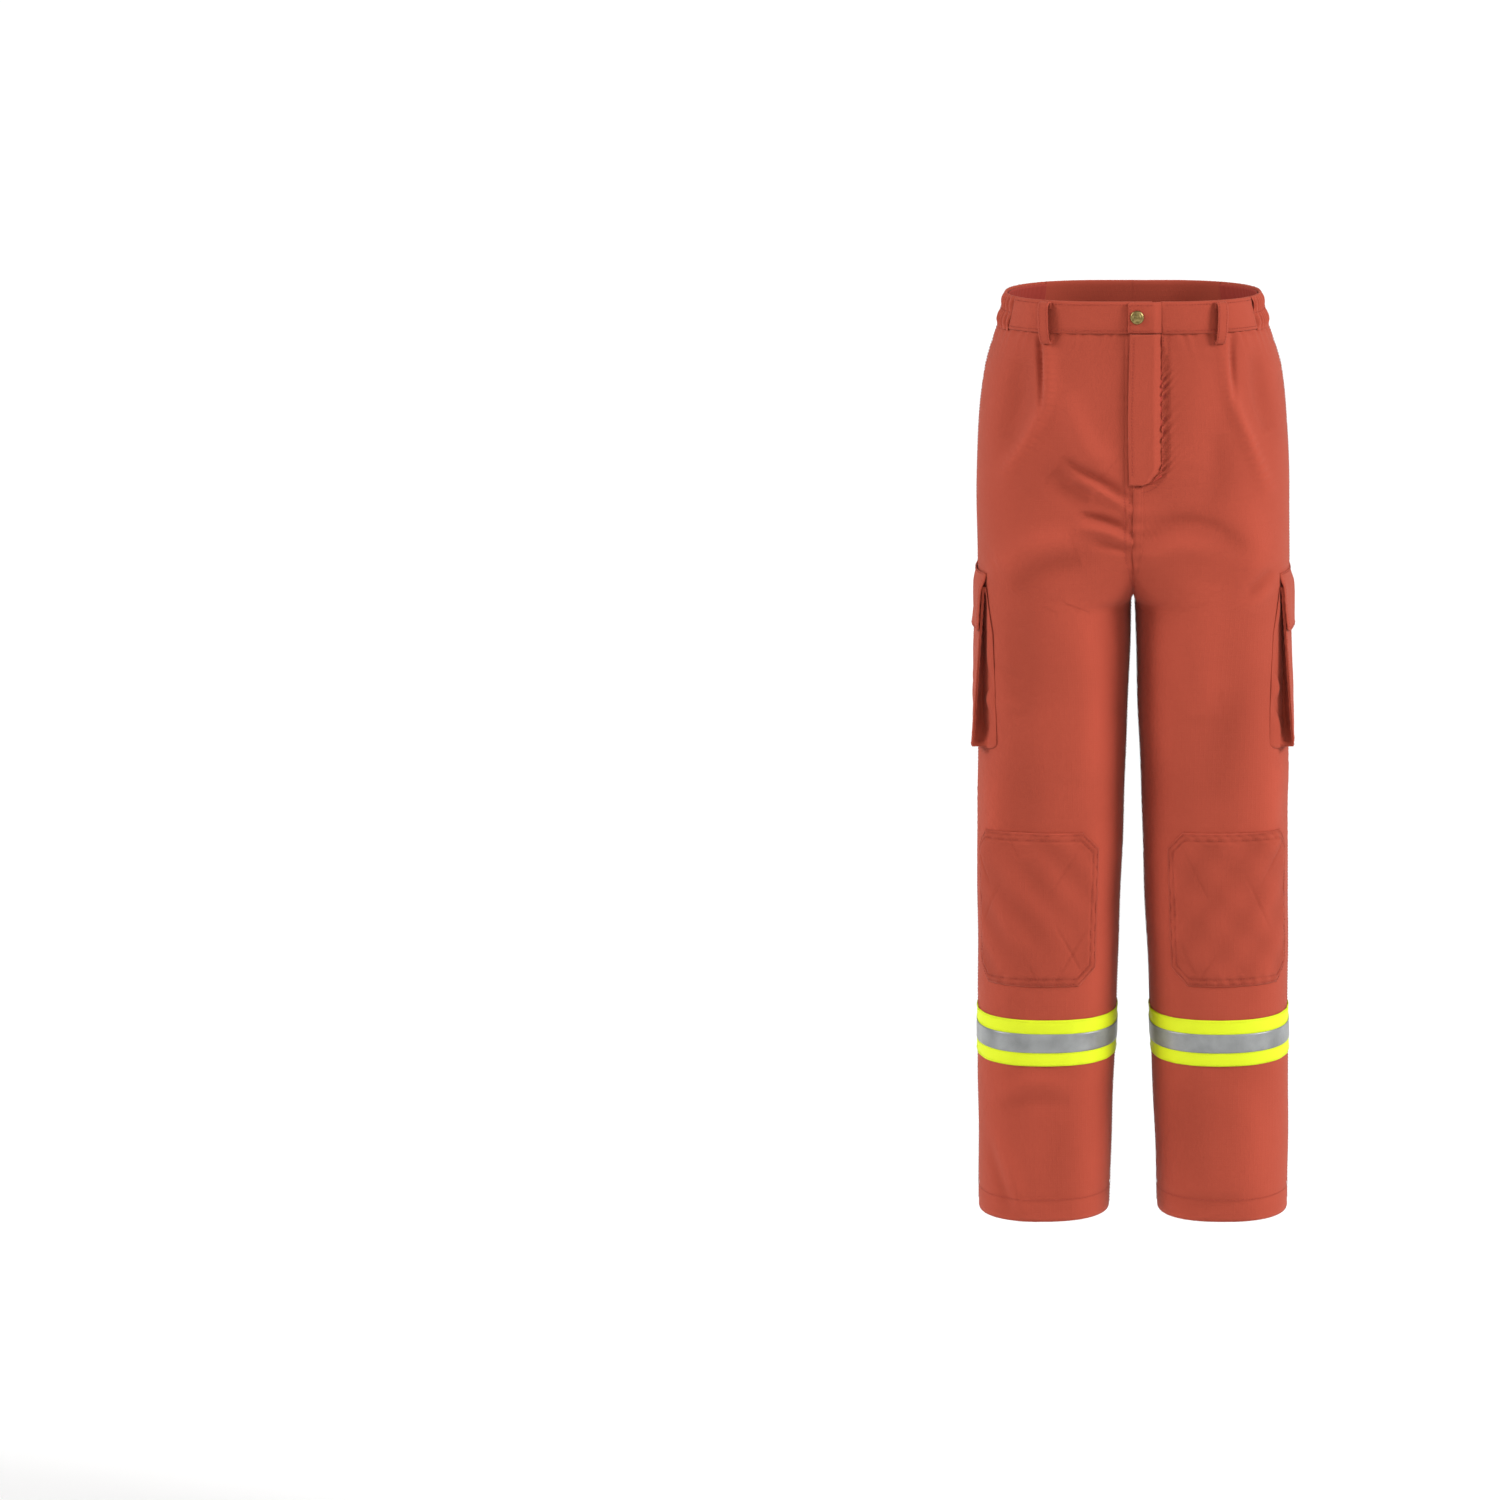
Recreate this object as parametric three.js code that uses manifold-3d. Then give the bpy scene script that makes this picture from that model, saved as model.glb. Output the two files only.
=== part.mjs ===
// Firefighting bunker pants, standing as if worn. Millimetres, +Z up, front towards -Y, wearer's left
// towards +X. The origin is the centre of the waist opening at the top edge of the waistband.
import * as THREE from 'three';
import { mergeVertices } from 'three/addons/utils/BufferGeometryUtils.js';
import Module from 'manifold-3d';

const wasm = await Module();
wasm.setup();

// ---- driving dimensions ----
const outseam = 1016;
const crotchDrop = 300;
const waistHalfWidth = 138;
const bandHalfWidth = 146;
const hipHalfWidth = 171;
const hipDrop = 150;
const legInsetAtHem = 27;
const legInsetAtKnee = 8;
const frontDepth = 120;
const seatDepth = 150;
const waistBackDepth = 122;
const thighDepth = 106;
const kneeDepth = 97;
const hemDepth = 80;
const bodyRoundness = 2.5;
const clothThickness = 1.5;
const clearance = 0.3;

const waistbandHeight = 35;
const waistbandProud = 1;
const waistbandThickness = 3;
const casingFrontAngle = 20;
const casingBackAngle = 56;
const elasticThickness = 1.5;
const elasticHeight = 30;

const loopWidth = 11;
const loopLength = 46;
const loopGap = 8;
const loopFoot = 6;
const loopTop = 1;
const loopBottom = loopTop + loopLength;
const frontLoopX = 98;
const backLoopX = 70;

const flyDepth = 200;
const flyWidth = 31;
const flyFreeEdge = -5;
const flyCornerRadius = 26;
const flyFlat = 36;
const flyStandOff = 3.8;
const zipCentreX = 11;
const zipTapeWidth = 20;
const zipTapeThickness = 0.8;
const toothPitch = 6;
const zipChannel = 1.6;
const snapX = 4.5;
const snapDrop = 17;
const snapRadius = 7.5;

const pocketTopDrop = 302;
const pocketHeight = 192;
const pocketHalfWidth = 72;
const pocketProudTop = 2.6;
const pocketProudBottom = 6;
const flapHeight = 64;
const flapOverhang = 2;
const stripHeight = 20;
const stripThickness = 0.6;
const stripHalfWidth = 50;

const kneePatchTop = 585;
const kneePatchHeight = 169;
const kneeChamfer = 16;
const kneeFoam = 2.5;
const kneeGapShare = 0.3 / 171;
const kneeInnerAngle = 126;
const kneeOuterAngle = 24;

const tapeDrop = 790;
const tapeHeight = 50;
const tapeThickness = 0.8;
const reflectiveHeight = 20;
const hemHeight = 25;
const kneeLevel = crotchDrop + 300;

// ---- materials ----
const clothColour = 0xc4503c;
const liningColour = 0xa5402f;
const group = new THREE.Group();

function addPiece(name, geometry, color, roughness = 0.85, metalness = 0) {
  const mesh = new THREE.Mesh(geometry, new THREE.MeshStandardMaterial({ color, roughness, metalness }));
  mesh.name = name;
  group.add(mesh);
}

// ---- the body form ----
// A section of one leg is two quarter curves about the line x = legCentre, one to the outer edge and
// one to the inner. Above the crotch the inner quarters end on the centre plane.
const { degToRad, lerp, clamp, smoothstep } = THREE.MathUtils;

function blendAlong(drop, stations) {
  let last = stations[0];
  for (const next of stations) {
    if (drop <= next[0]) {
      const span = next[0] - last[0];
      return span > 0 ? lerp(last[1], next[1], (drop - last[0]) / span) : next[1];
    }
    last = next;
  }
  return last[1];
}

function halfWidth(drop) {
  if (drop < waistbandHeight) {
    return lerp(waistHalfWidth, bandHalfWidth, drop / waistbandHeight);
  }
  const share = clamp((drop - waistbandHeight) / (hipDrop - waistbandHeight), 0, 1);
  return bandHalfWidth + (hipHalfWidth - bandHalfWidth) * (1 - (1 - share) ** 2);
}

function frontReach(drop) {
  return blendAlong(drop, [[0, frontDepth], [crotchDrop, frontDepth], [crotchDrop + 120, thighDepth],
    [kneeLevel, kneeDepth], [outseam, hemDepth]]);
}

function backReach(drop) {
  const seat = smoothstep(drop, 0, 190);
  const low = blendAlong(drop, [
    [0, seatDepth], [crotchDrop - 40, seatDepth], [crotchDrop + 40, seatDepth - 16],
    [crotchDrop + 120, thighDepth + 12], [kneeLevel, kneeDepth + 4], [outseam, hemDepth]]);
  return lerp(waistBackDepth, low, seat);
}

function innerEdge(drop) {
  return blendAlong(drop, [[0, 0], [crotchDrop, 0], [kneeLevel - 80, legInsetAtKnee],
    [outseam, legInsetAtHem]]);
}

function legCentre(drop) {
  const below = (hipHalfWidth + innerEdge(drop)) / 2;
  return lerp(flyFlat, below, smoothstep(drop, flyDepth, crotchDrop));
}

// How far the rise seam lies from the mid plane, front or back.
function riseReach(drop, reach, depth) {
  const share = clamp((drop - flyDepth) / (crotchDrop - depth - flyDepth), 0, 1);
  return (reach - depth) * Math.sqrt(1 - share * share);
}

// A point on the cloth: angle 0 is the side seam, -180 the front centre or inseam, 180 the back one.
// Depth is measured inwards from the outer face of the cloth.
function bodyPoint(side, drop, angle, depth = 0) {
  const power = 2 / bodyRoundness;
  const turn = degToRad(Math.abs(angle));
  const reach = angle < 0 ? frontReach(drop) : backReach(drop);
  const centre = legCentre(drop);
  const along = Math.abs(Math.cos(turn)) ** power;
  const across = Math.abs(Math.sin(turn)) ** power;
  let x = centre + (halfWidth(drop) - depth - centre) * along;
  let y = (reach - depth) * across;
  if (Math.abs(angle) > 90) {
    const atCrotch = clamp((drop - crotchDrop + depth) / Math.max(depth, 0.01), 0, 1);
    const edge = innerEdge(drop) + depth * atCrotch;
    const rise = drop < crotchDrop - depth ? riseReach(drop, reach, depth) : 0;
    x = centre - (centre - edge) * along;
    y = rise + (reach - depth - rise) * across;
  }
  return new THREE.Vector3(side * x, Math.sign(angle) * y, -drop);
}

// ---- closed solids ----
function faceOut(geometry) {
  const index = geometry.index;
  const place = geometry.attributes.position;
  const corner = [new THREE.Vector3(), new THREE.Vector3(), new THREE.Vector3()];
  let volume = 0;
  for (let i = 0; i < index.count; i += 3) {
    corner.forEach((point, k) => point.fromBufferAttribute(place, index.getX(i + k)));
    volume += corner[0].dot(corner[1].clone().cross(corner[2]));
  }
  if (volume < 0) {
    const turned = Array.from(index.array);
    for (let i = 0; i < turned.length; i += 3) {
      [turned[i], turned[i + 1]] = [turned[i + 1], turned[i]];
    }
    geometry.setIndex(turned);
  }
  geometry.computeVertexNormals();
  return geometry;
}

// A sheet with a thickness: pointAt(row, column, layer) gives its two faces, layer 0 and layer 1.
function shell(rowCount, columnCount, pointAt, ring = false) {
  const points = [];
  for (const layer of [0, 1]) {
    for (let r = 0; r < rowCount; r += 1) {
      for (let c = 0; c < columnCount; c += 1) {
        const point = pointAt(r, c, layer);
        points.push(point.x, point.y, point.z);
      }
    }
  }
  const at = (r, c, layer) => (layer * rowCount + r) * columnCount + (c % columnCount);
  const faces = [];
  const quad = (a, b, c, d) => faces.push(a, b, c, a, c, d);
  const spans = ring ? columnCount : columnCount - 1;
  for (let c = 0; c < spans; c += 1) {
    for (let r = 0; r < rowCount - 1; r += 1) {
      quad(at(r, c, 0), at(r + 1, c, 0), at(r + 1, c + 1, 0), at(r, c + 1, 0));
      quad(at(r, c, 1), at(r, c + 1, 1), at(r + 1, c + 1, 1), at(r + 1, c, 1));
    }
    quad(at(0, c, 0), at(0, c + 1, 0), at(0, c + 1, 1), at(0, c, 1));
    const end = rowCount - 1;
    quad(at(end, c, 0), at(end, c, 1), at(end, c + 1, 1), at(end, c + 1, 0));
  }
  if (!ring) {
    const edge = columnCount - 1;
    for (let r = 0; r < rowCount - 1; r += 1) {
      quad(at(r, 0, 0), at(r, 0, 1), at(r + 1, 0, 1), at(r + 1, 0, 0));
      quad(at(r, edge, 0), at(r + 1, edge, 0), at(r + 1, edge, 1), at(r, edge, 1));
    }
  }
  const geometry = new THREE.BufferGeometry();
  geometry.setAttribute('position', new THREE.Float32BufferAttribute(points, 3));
  geometry.setIndex(faces);
  return faceOut(geometry);
}

// A closed outline of [a, b] pairs carried between two end planes: pointAt([a, b], end).
function prism(outline, pointAt) {
  const flat = outline.map(([a, b]) => new THREE.Vector2(a, b));
  const caps = THREE.ShapeUtils.triangulateShape(flat, []);
  const count = outline.length;
  const points = [];
  for (const end of [0, 1]) {
    for (const pair of outline) {
      const point = pointAt(pair, end);
      points.push(point.x, point.y, point.z);
    }
  }
  const clockwise = THREE.ShapeUtils.isClockWise(flat);
  const faces = [];
  for (const [a, b, c] of caps) {
    faces.push(a, c, b, a + count, b + count, c + count);
  }
  for (let i = 0; i < count; i += 1) {
    const next = (i + 1) % count;
    const [from, to] = clockwise ? [next, i] : [i, next];
    faces.push(from, to, to + count, from, to + count, from + count);
  }
  const geometry = new THREE.BufferGeometry();
  geometry.setAttribute('position', new THREE.Float32BufferAttribute(points, 3));
  geometry.setIndex(faces);
  return faceOut(geometry);
}

function solidOf(geometry) {
  const bare = geometry.clone();
  bare.deleteAttribute('normal');
  bare.deleteAttribute('uv');
  const merged = mergeVertices(bare, 1e-4);
  const vertProperties = new Float32Array(merged.attributes.position.array);
  const triVerts = new Uint32Array(merged.index.array);
  return new wasm.Manifold(new wasm.Mesh({ numProp: 3, vertProperties, triVerts }));
}

function geometryOf(solid) {
  const mesh = solid.getMesh();
  const geometry = new THREE.BufferGeometry();
  geometry.setAttribute('position', new THREE.Float32BufferAttribute(mesh.vertProperties, 3));
  geometry.setIndex(Array.from(mesh.triVerts));
  geometry.computeVertexNormals();
  return geometry;
}

function cut(geometry, ...tools) {
  return geometryOf(tools.reduce((solid, tool) => solid.subtract(solidOf(tool)), solidOf(geometry)));
}

function join(...geometries) {
  return geometryOf(geometries.map(solidOf).reduce((solid, other) => solid.add(other)));
}

function box(low, high) {
  const size = high.map((value, k) => value - low[k]);
  const middle = high.map((value, k) => (value + low[k]) / 2);
  return new THREE.BoxGeometry(...size).translate(...middle);
}

function evenly(from, to, count) {
  return Array.from({ length: count + 1 }, (_, i) => lerp(from, to, i / count));
}

// Columns shared by everything wrapped round the body, so that layers never cross each other.
const columnStep = 18;
function columnsBetween(from, to) {
  const inside = [];
  for (let angle = -180; angle <= 180; angle += columnStep) {
    if (angle > from + 1 && angle < to - 1) inside.push(angle);
  }
  return [from, ...inside, to];
}

// A piece wrapped round one side of the body, from depth near to depth far.
function wrapped(side, drops, angles, near, far, shift = [0, 0]) {
  return shell(drops.length, angles.length, (r, c, layer) => {
    const point = bodyPoint(side, drops[r], angles[c], layer ? far : near);
    return point.add(new THREE.Vector3(side * shift[0], shift[1], 0));
  });
}

const ringAngles = columnsBetween(-180, 180).slice(0, -1);
function wrappedRing(side, drops, near, far) {
  return shell(drops.length, ringAngles.length, (r, c, layer) => (
    bodyPoint(side, drops[r], ringAngles[c], layer ? far : near)), true);
}

const sides = [['left', 1], ['right', -1]];
const seamGap = clearance / 2;
const faceY = -frontDepth;

// ---- four leg-length panels ----
// Rows down the panels, closer together where the rise seam curves under.
const panelDrops = [
  waistbandHeight + clearance, loopBottom, loopBottom + 18, loopBottom + 48, hipDrop, flyDepth,
  ...[0.28, 0.5, 0.68, 0.82, 0.92, 0.98, 1.01].map((share) => lerp(flyDepth, crotchDrop, share)),
  crotchDrop + 60, crotchDrop + 120, kneeLevel - 80, kneeLevel,
  lerp(kneeLevel, outseam, 1 / 3), lerp(kneeLevel, outseam, 2 / 3), outseam,
];

// The placket's outline, seen from the front: straight at the hinge, round at the bottom outer corner.
function flyOutline(left, right, top, bottom) {
  const shape = new THREE.Shape();
  shape.moveTo(left, top);
  shape.lineTo(left, bottom);
  shape.lineTo(right - flyCornerRadius, bottom);
  shape.absarc(right - flyCornerRadius, bottom + flyCornerRadius, flyCornerRadius, -Math.PI / 2, 0, false);
  shape.lineTo(right, top);
  return shape;
}

function flyPlate(left, right, top, bottom, nearY, farY) {
  const depth = farY - nearY;
  const plate = new THREE.ExtrudeGeometry(flyOutline(left, right, top, bottom),
    { depth, bevelEnabled: false, curveSegments: 6 });
  return plate.rotateX(Math.PI / 2).translate(0, farY, 0);
}

for (const [name, side] of sides) {
  let front = wrapped(side, panelDrops, columnsBetween(-180, 0), 0, clothThickness, [seamGap, -seamGap]);
  if (side > 0) {
    front = cut(front, flyPlate(flyFreeEdge, flyWidth, 0, -flyDepth, faceY - 5, faceY + 5));
  }
  const back = wrapped(side, panelDrops, columnsBetween(0, 180), 0, clothThickness, [seamGap, seamGap]);
  addPiece(`front_panel_${name}`, front, clothColour);
  addPiece(`back_panel_${name}`, back, clothColour);
  const hemDrops = [outseam - hemHeight, outseam];
  const hemNear = clothThickness + clearance;
  addPiece(`hem_band_${name}`, wrappedRing(side, hemDrops, hemNear, hemNear + clothThickness), liningColour);
}

// ---- waistband ----
const bandDrops = [0, waistbandHeight];
const bandNear = -waistbandProud;
const bandFar = waistbandThickness - waistbandProud;

// A stretch of band between two places on the front flat and an angle at the side.
function bandFromFront(side, startX, endAngle) {
  const angles = columnsBetween(-90, endAngle);
  return shell(2, angles.length + 1, (r, c, layer) => {
    const depth = layer ? bandFar : bandNear;
    if (c === 0) return new THREE.Vector3(startX, faceY + depth, -bandDrops[r]);
    return bodyPoint(side, bandDrops[r], angles[c - 1], depth);
  });
}

const underlapEdge = flyWidth - 10;
const bandLeft = bandFromFront(1, flyWidth + seamGap, -casingFrontAngle);
const bandRight = bandFromFront(-1, underlapEdge, -casingFrontAngle);

// A short round rod along Y, centred on x and z.
function rodAlongY(radius, nearY, farY, x, z, facets = 12) {
  const rod = new THREE.CylinderGeometry(radius, radius, farY - nearY, facets);
  return rod.translate(x, (nearY + farY) / 2, z);
}

const shankRadius = 1.2;
const shankHole = shankRadius + clearance;
const snapZ = -snapDrop;
const snapBore = rodAlongY(shankHole, faceY - 20, faceY + 20, snapX, snapZ);
addPiece('waistband_front_left', bandLeft, clothColour);
addPiece('waistband_front_right', cut(bandRight, snapBore), clothColour);

const backAngles = columnsBetween(casingBackAngle, 180);
const backCount = backAngles.length;
const backBand = shell(2, backCount * 2 - 1, (r, c, layer) => {
  const depth = layer ? bandFar : bandNear;
  const side = c < backCount ? 1 : -1;
  const angle = side > 0 ? backAngles[c] : backAngles[backCount * 2 - 2 - c];
  return bodyPoint(side, bandDrops[r], angle, depth);
});
addPiece('waistband_back', backBand, clothColour);

const casingGap = 0.4;
for (const [name, side] of sides) {
  const angles = columnsBetween(-casingFrontAngle + casingGap, casingBackAngle - casingGap);
  const elasticNear = bandFar + clearance;
  const margin = (waistbandHeight - elasticHeight) / 2;
  const drops = [margin, waistbandHeight - margin];
  addPiece(`side_casing_${name}`, wrapped(side, bandDrops, angles, bandNear, bandFar), clothColour);
  addPiece(`waist_elastic_${name}`, wrapped(side, drops, angles, elasticNear, elasticNear + elasticThickness),
    0xe8e0d2, 0.9);
}

// ---- belt loops: a strap folded under at both ends and bowed off the band ----
function angleAtX(x, drop, back) {
  const centre = legCentre(drop);
  const share = clamp((x - centre) / (halfWidth(drop) - centre), 0, 1);
  const angle = THREE.MathUtils.radToDeg(Math.acos(share ** (bodyRoundness / 2)));
  return back ? angle : -angle;
}

const strap = clothThickness;
const bandSeat = waistbandProud + clearance;
const loopOutline = [
  [bandSeat, loopTop],
  [bandSeat + strap, loopTop],
  [bandSeat + loopGap + strap, loopTop + loopFoot + 4],
  [bandSeat + loopGap + strap, loopBottom - loopFoot - 6],
  [clearance + strap, loopBottom - loopFoot + 1],
  [clearance + strap, loopBottom],
  [clearance, loopBottom],
  [clearance, loopBottom - loopFoot],
  [bandSeat + loopGap, loopBottom - loopFoot - 7],
  [bandSeat + loopGap, loopTop + loopFoot + 5],
  [bandSeat, loopTop + 3],
];

function beltLoop(side, x, back) {
  const middle = 25;
  const angle = angleAtX(x, middle, back);
  const step = 0.5;
  const arc = bodyPoint(1, middle, angle - step).distanceTo(bodyPoint(1, middle, angle + step)) / (2 * step);
  const half = loopWidth / 2 / arc;
  return prism(loopOutline, ([out, drop], end) => (
    bodyPoint(side, drop, angle + (end ? half : -half), -out)));
}

for (const [name, side] of sides) {
  addPiece(`belt_loop_front_${name}`, beltLoop(side, frontLoopX, false), clothColour);
  addPiece(`belt_loop_back_${name}`, beltLoop(side, backLoopX, true), clothColour);
}
addPiece('belt_loop_back_centre', prism(loopOutline, ([out, drop], end) => (
  new THREE.Vector3((end ? loopWidth : -loopWidth) / 2, backReach(drop) + out, -drop))), clothColour);

// ---- fly: tab and placket turn about one line at the edge of the left panel ----
const hingeX = flyWidth - 0.5;
const hingeFaceY = faceY - clothThickness;
const flapInnerY = faceY - flyStandOff;
const flapOuterY = flapInnerY - clothThickness;
const flatEnd = flyWidth - 9;

// The flap seen from above: proud over the zip and flush where it is stitched down.
function flapOutline(freeEdge) {
  return [
    [freeEdge, flapOuterY],
    [flatEnd, flapOuterY],
    [hingeX, hingeFaceY],
    [hingeX, faceY],
    [flatEnd, flapInnerY],
    [freeEdge, flapInnerY],
  ];
}

function upright(outline, top, bottom) {
  return prism(outline, ([x, y], end) => new THREE.Vector3(x, y, end ? bottom : top));
}

const tabOverhang = 2;
const tab = upright(flapOutline(flyFreeEdge - tabOverhang), 0, -waistbandHeight);
addPiece('waistband_tab', cut(tab, snapBore), clothColour);

const placketBlank = upright(flapOutline(flyFreeEdge), -waistbandHeight - clearance, -flyDepth - 2);
const placketTrim = flyPlate(
  flyFreeEdge - 1, flyWidth - 0.5, 0, -flyDepth + clearance, faceY - 20, faceY + 5);
const placket = geometryOf(solidOf(placketBlank).intersect(solidOf(placketTrim)));
addPiece('fly_placket', placket, clothColour);

// ---- zip ----
const panelInnerY = faceY + clothThickness;
const tapeNearY = panelInnerY + clearance;
const tapeFarY = tapeNearY + zipTapeThickness;
const zipTop = -waistbandHeight - 2;
const zipBottom = -flyDepth + 2;
const toothProud = 0.6;
const toothLength = 2.6;
const toothRows = Math.floor((zipTop - zipBottom - 10) / toothPitch);
const toothHeight = 3.4;

function zipHalf(side) {
  const innerX = zipCentreX + side * zipChannel / 2;
  const toothX = innerX + side * toothLength;
  const outerX = zipCentreX + side * zipTapeWidth;
  const tapeInner = innerX + side * 0.8;
  const span = (a, b, z0, z1, y0, y1) => box([Math.min(a, b), y0, z0], [Math.max(a, b), y1, z1]);
  const pieces = [span(tapeInner, outerX, zipBottom, zipTop, tapeNearY, tapeFarY)];
  for (let i = 0; i < toothRows; i += 1) {
    const z = zipTop - 4 - toothPitch * (i + 0.25 + side * 0.2);
    pieces.push(span(innerX, toothX, z - toothHeight, z, tapeNearY - toothProud, tapeFarY + toothProud));
  }
  return join(...pieces);
}

addPiece('zip_tape_left', zipHalf(1), 0xa8402f);
addPiece('zip_tape_right', zipHalf(-1), 0xa8402f);

const stopHalfWidth = 4;
addPiece('zip_bottom_stop', box(
  [zipCentreX - stopHalfWidth, tapeNearY - 1.2, zipBottom],
  [zipCentreX + stopHalfWidth, tapeNearY - clearance, zipBottom + 4]), 0xb08d57, 0.4, 0.9);

// Slider: two plates either side of the teeth, joined by a neck in the channel, with a headed stud.
const sliderTop = zipTop - 4;
const sliderHeight = 11;
const sliderHalfWidth = 5.5;
const neckHalfWidth = zipChannel / 2 - clearance;
const frontPlateFarY = tapeNearY - toothProud - clearance;
const frontPlateNearY = frontPlateFarY - 0.9;
const rearPlateNearY = tapeFarY + toothProud + clearance;
const rearPlateFarY = rearPlateNearY + 0.9;
const studZ = sliderTop - 4;
const studRadius = 1.1;
const headRadius = 1.9;
const headNearY = flapInnerY + clearance;
const headFarY = headNearY + 0.5;
const slider = join(
  box([zipCentreX - sliderHalfWidth, frontPlateNearY, sliderTop - sliderHeight],
    [zipCentreX + sliderHalfWidth, frontPlateFarY, sliderTop]),
  box([zipCentreX - sliderHalfWidth, rearPlateNearY, sliderTop - sliderHeight],
    [zipCentreX + sliderHalfWidth, rearPlateFarY, sliderTop]),
  box([zipCentreX - neckHalfWidth, frontPlateFarY - 0.2, sliderTop - sliderHeight + 2],
    [zipCentreX + neckHalfWidth, rearPlateNearY + 0.2, sliderTop - 1]),
  rodAlongY(studRadius, headFarY - 0.2, frontPlateNearY + 0.2, zipCentreX, studZ),
  rodAlongY(headRadius, headNearY, headFarY, zipCentreX, studZ),
);
addPiece('zip_slider', slider, 0xb08d57, 0.4, 0.9);

// Pull: a flat tab whose eye turns on the slider's stud.
const pullNearY = headFarY + clearance;
const pullFarY = pullNearY + 0.9;
const pullHalfWidth = 2.6;
const pullLength = 20;
const pull = cut(
  box([zipCentreX - pullHalfWidth, pullNearY, studZ - pullLength],
    [zipCentreX + pullHalfWidth, pullFarY, studZ + pullHalfWidth]),
  rodAlongY(studRadius + clearance, pullNearY - 1, pullFarY + 1, zipCentreX, studZ),
);
addPiece('zip_pull', pull, 0xb08d57, 0.4, 0.9);

// Facing behind the left tape, and the shield behind the whole zip.
const facingStart = zipCentreX + sliderHalfWidth + 1.2;
const facingEnd = zipCentreX + zipTapeWidth + 8;
const facingNearY = tapeFarY + clearance;
addPiece('fly_facing', box([facingStart, facingNearY, -flyDepth],
  [facingEnd, facingNearY + 0.9, -waistbandHeight]), liningColour);

const shieldNearY = rearPlateFarY + clearance * 2;
const shieldFarY = shieldNearY + clothThickness;
const shieldStart = zipCentreX - zipTapeWidth - 1;
const shieldOutline = [
  [shieldStart - 10, tapeNearY],
  [shieldStart, tapeNearY],
  [shieldStart + 3, shieldNearY],
  [zipCentreX + 14, shieldNearY],
  [zipCentreX + 14, shieldFarY],
  [shieldStart + 2, shieldFarY],
  [shieldStart - 1, tapeNearY + clothThickness],
  [shieldStart - 10, tapeNearY + clothThickness],
];
addPiece('fly_shield', upright(shieldOutline, -waistbandHeight - clearance, -flyDepth - 10), liningColour);

// ---- snap fastener: cap and socket on the tab, stud and washer on the underlap ----
function turned(profile, y, x, z) {
  const points = profile.map(([radius, height]) => new THREE.Vector2(radius, height));
  return new THREE.LatheGeometry(points, 16).translate(x, y, z);
}

const brass = 0xa98f56;
const capBase = 0.9;
const capDome = 1.6;
const capSeatY = flapOuterY - clearance;
const bandOuterY = faceY - waistbandProud;
const cap = join(
  turned([[0, -capBase - capDome], [snapRadius * 0.6, -capBase - capDome * 0.75], [snapRadius, -capBase],
    [snapRadius, 0], [0, 0]], capSeatY, snapX, snapZ),
  rodAlongY(shankRadius, capSeatY - 0.2, flapInnerY + clearance, snapX, snapZ),
);
addPiece('snap_cap', cap, brass, 0.35, 1);

const socketNearY = flapInnerY + clearance;
const socketDepth = 1;
const socketHole = 2.3;
const socketRadius = 5;
addPiece('snap_socket', turned([[socketHole, 0], [socketRadius, 0], [socketRadius, socketDepth],
  [socketHole, socketDepth], [socketHole, 0]], socketNearY, snapX, snapZ), brass, 0.35, 1);

const studSeatY = bandOuterY - clearance;
const nubRadius = socketHole - clearance;
const flangeY = socketNearY + socketDepth + clearance;
const stud = join(
  rodAlongY(socketRadius, flangeY, studSeatY, snapX, snapZ, 16),
  rodAlongY(nubRadius, socketNearY + clearance, flangeY + 0.2, snapX, snapZ),
  rodAlongY(shankRadius, studSeatY - 0.2, faceY + bandFar + 1, snapX, snapZ),
);
addPiece('snap_stud', stud, brass, 0.35, 1);
const washerY = faceY + bandFar + clearance;
addPiece('snap_washer', turned([[shankHole, 0], [socketRadius, 0], [socketRadius, 0.8], [shankHole, 0.8],
  [shankHole, 0]], washerY, snapX, snapZ), brass, 0.35, 1);

// ---- cargo pockets on the outer side of each leg ----
const pocketMouth = pocketTopDrop + 15;
const pocketBottom = pocketTopDrop + pocketHeight;
const pocketColumns = evenly(-pocketHalfWidth, pocketHalfWidth, 8);
const sagSpan = 72;
const sagTopFront = 9;
const sagTopBack = 4;
const sagBottom = 1;

function pocketFaceX(drop, y) {
  const share = clamp((drop - pocketMouth) / (pocketBottom - pocketMouth), 0, 1);
  const proud = lerp(pocketProudTop, pocketProudBottom, share);
  const sag = lerp(y < 0 ? sagTopFront : sagTopBack, sagBottom, share);
  return hipHalfWidth + proud - sag * (y / sagSpan) ** 2;
}

function legSurfaceX(drop, y) {
  const reach = y < 0 ? frontReach(drop) : backReach(drop);
  const centre = legCentre(drop);
  const share = 1 - (Math.abs(y) / reach) ** bodyRoundness;
  return centre + (halfWidth(drop) - centre) * share ** (1 / bodyRoundness);
}

const faceDrops = evenly(pocketMouth, pocketBottom, 5);
const stripNear = pocketMouth + 16;
const stripDrops = [stripNear, stripNear + stripHeight];
const stripColumns = evenly(-stripHalfWidth, stripHalfWidth, 8);
const flapBottom = pocketTopDrop + flapHeight;
const flapDrops = [pocketTopDrop, pocketTopDrop + 7, pocketMouth, stripNear, flapBottom];
const flapColumns = evenly(-pocketHalfWidth - flapOverhang, pocketHalfWidth + flapOverhang, 8);
const loopOut = clearance;
const hookOut = loopOut + stripThickness + clearance;
const flapOut = hookOut + stripThickness + clearance;

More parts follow.
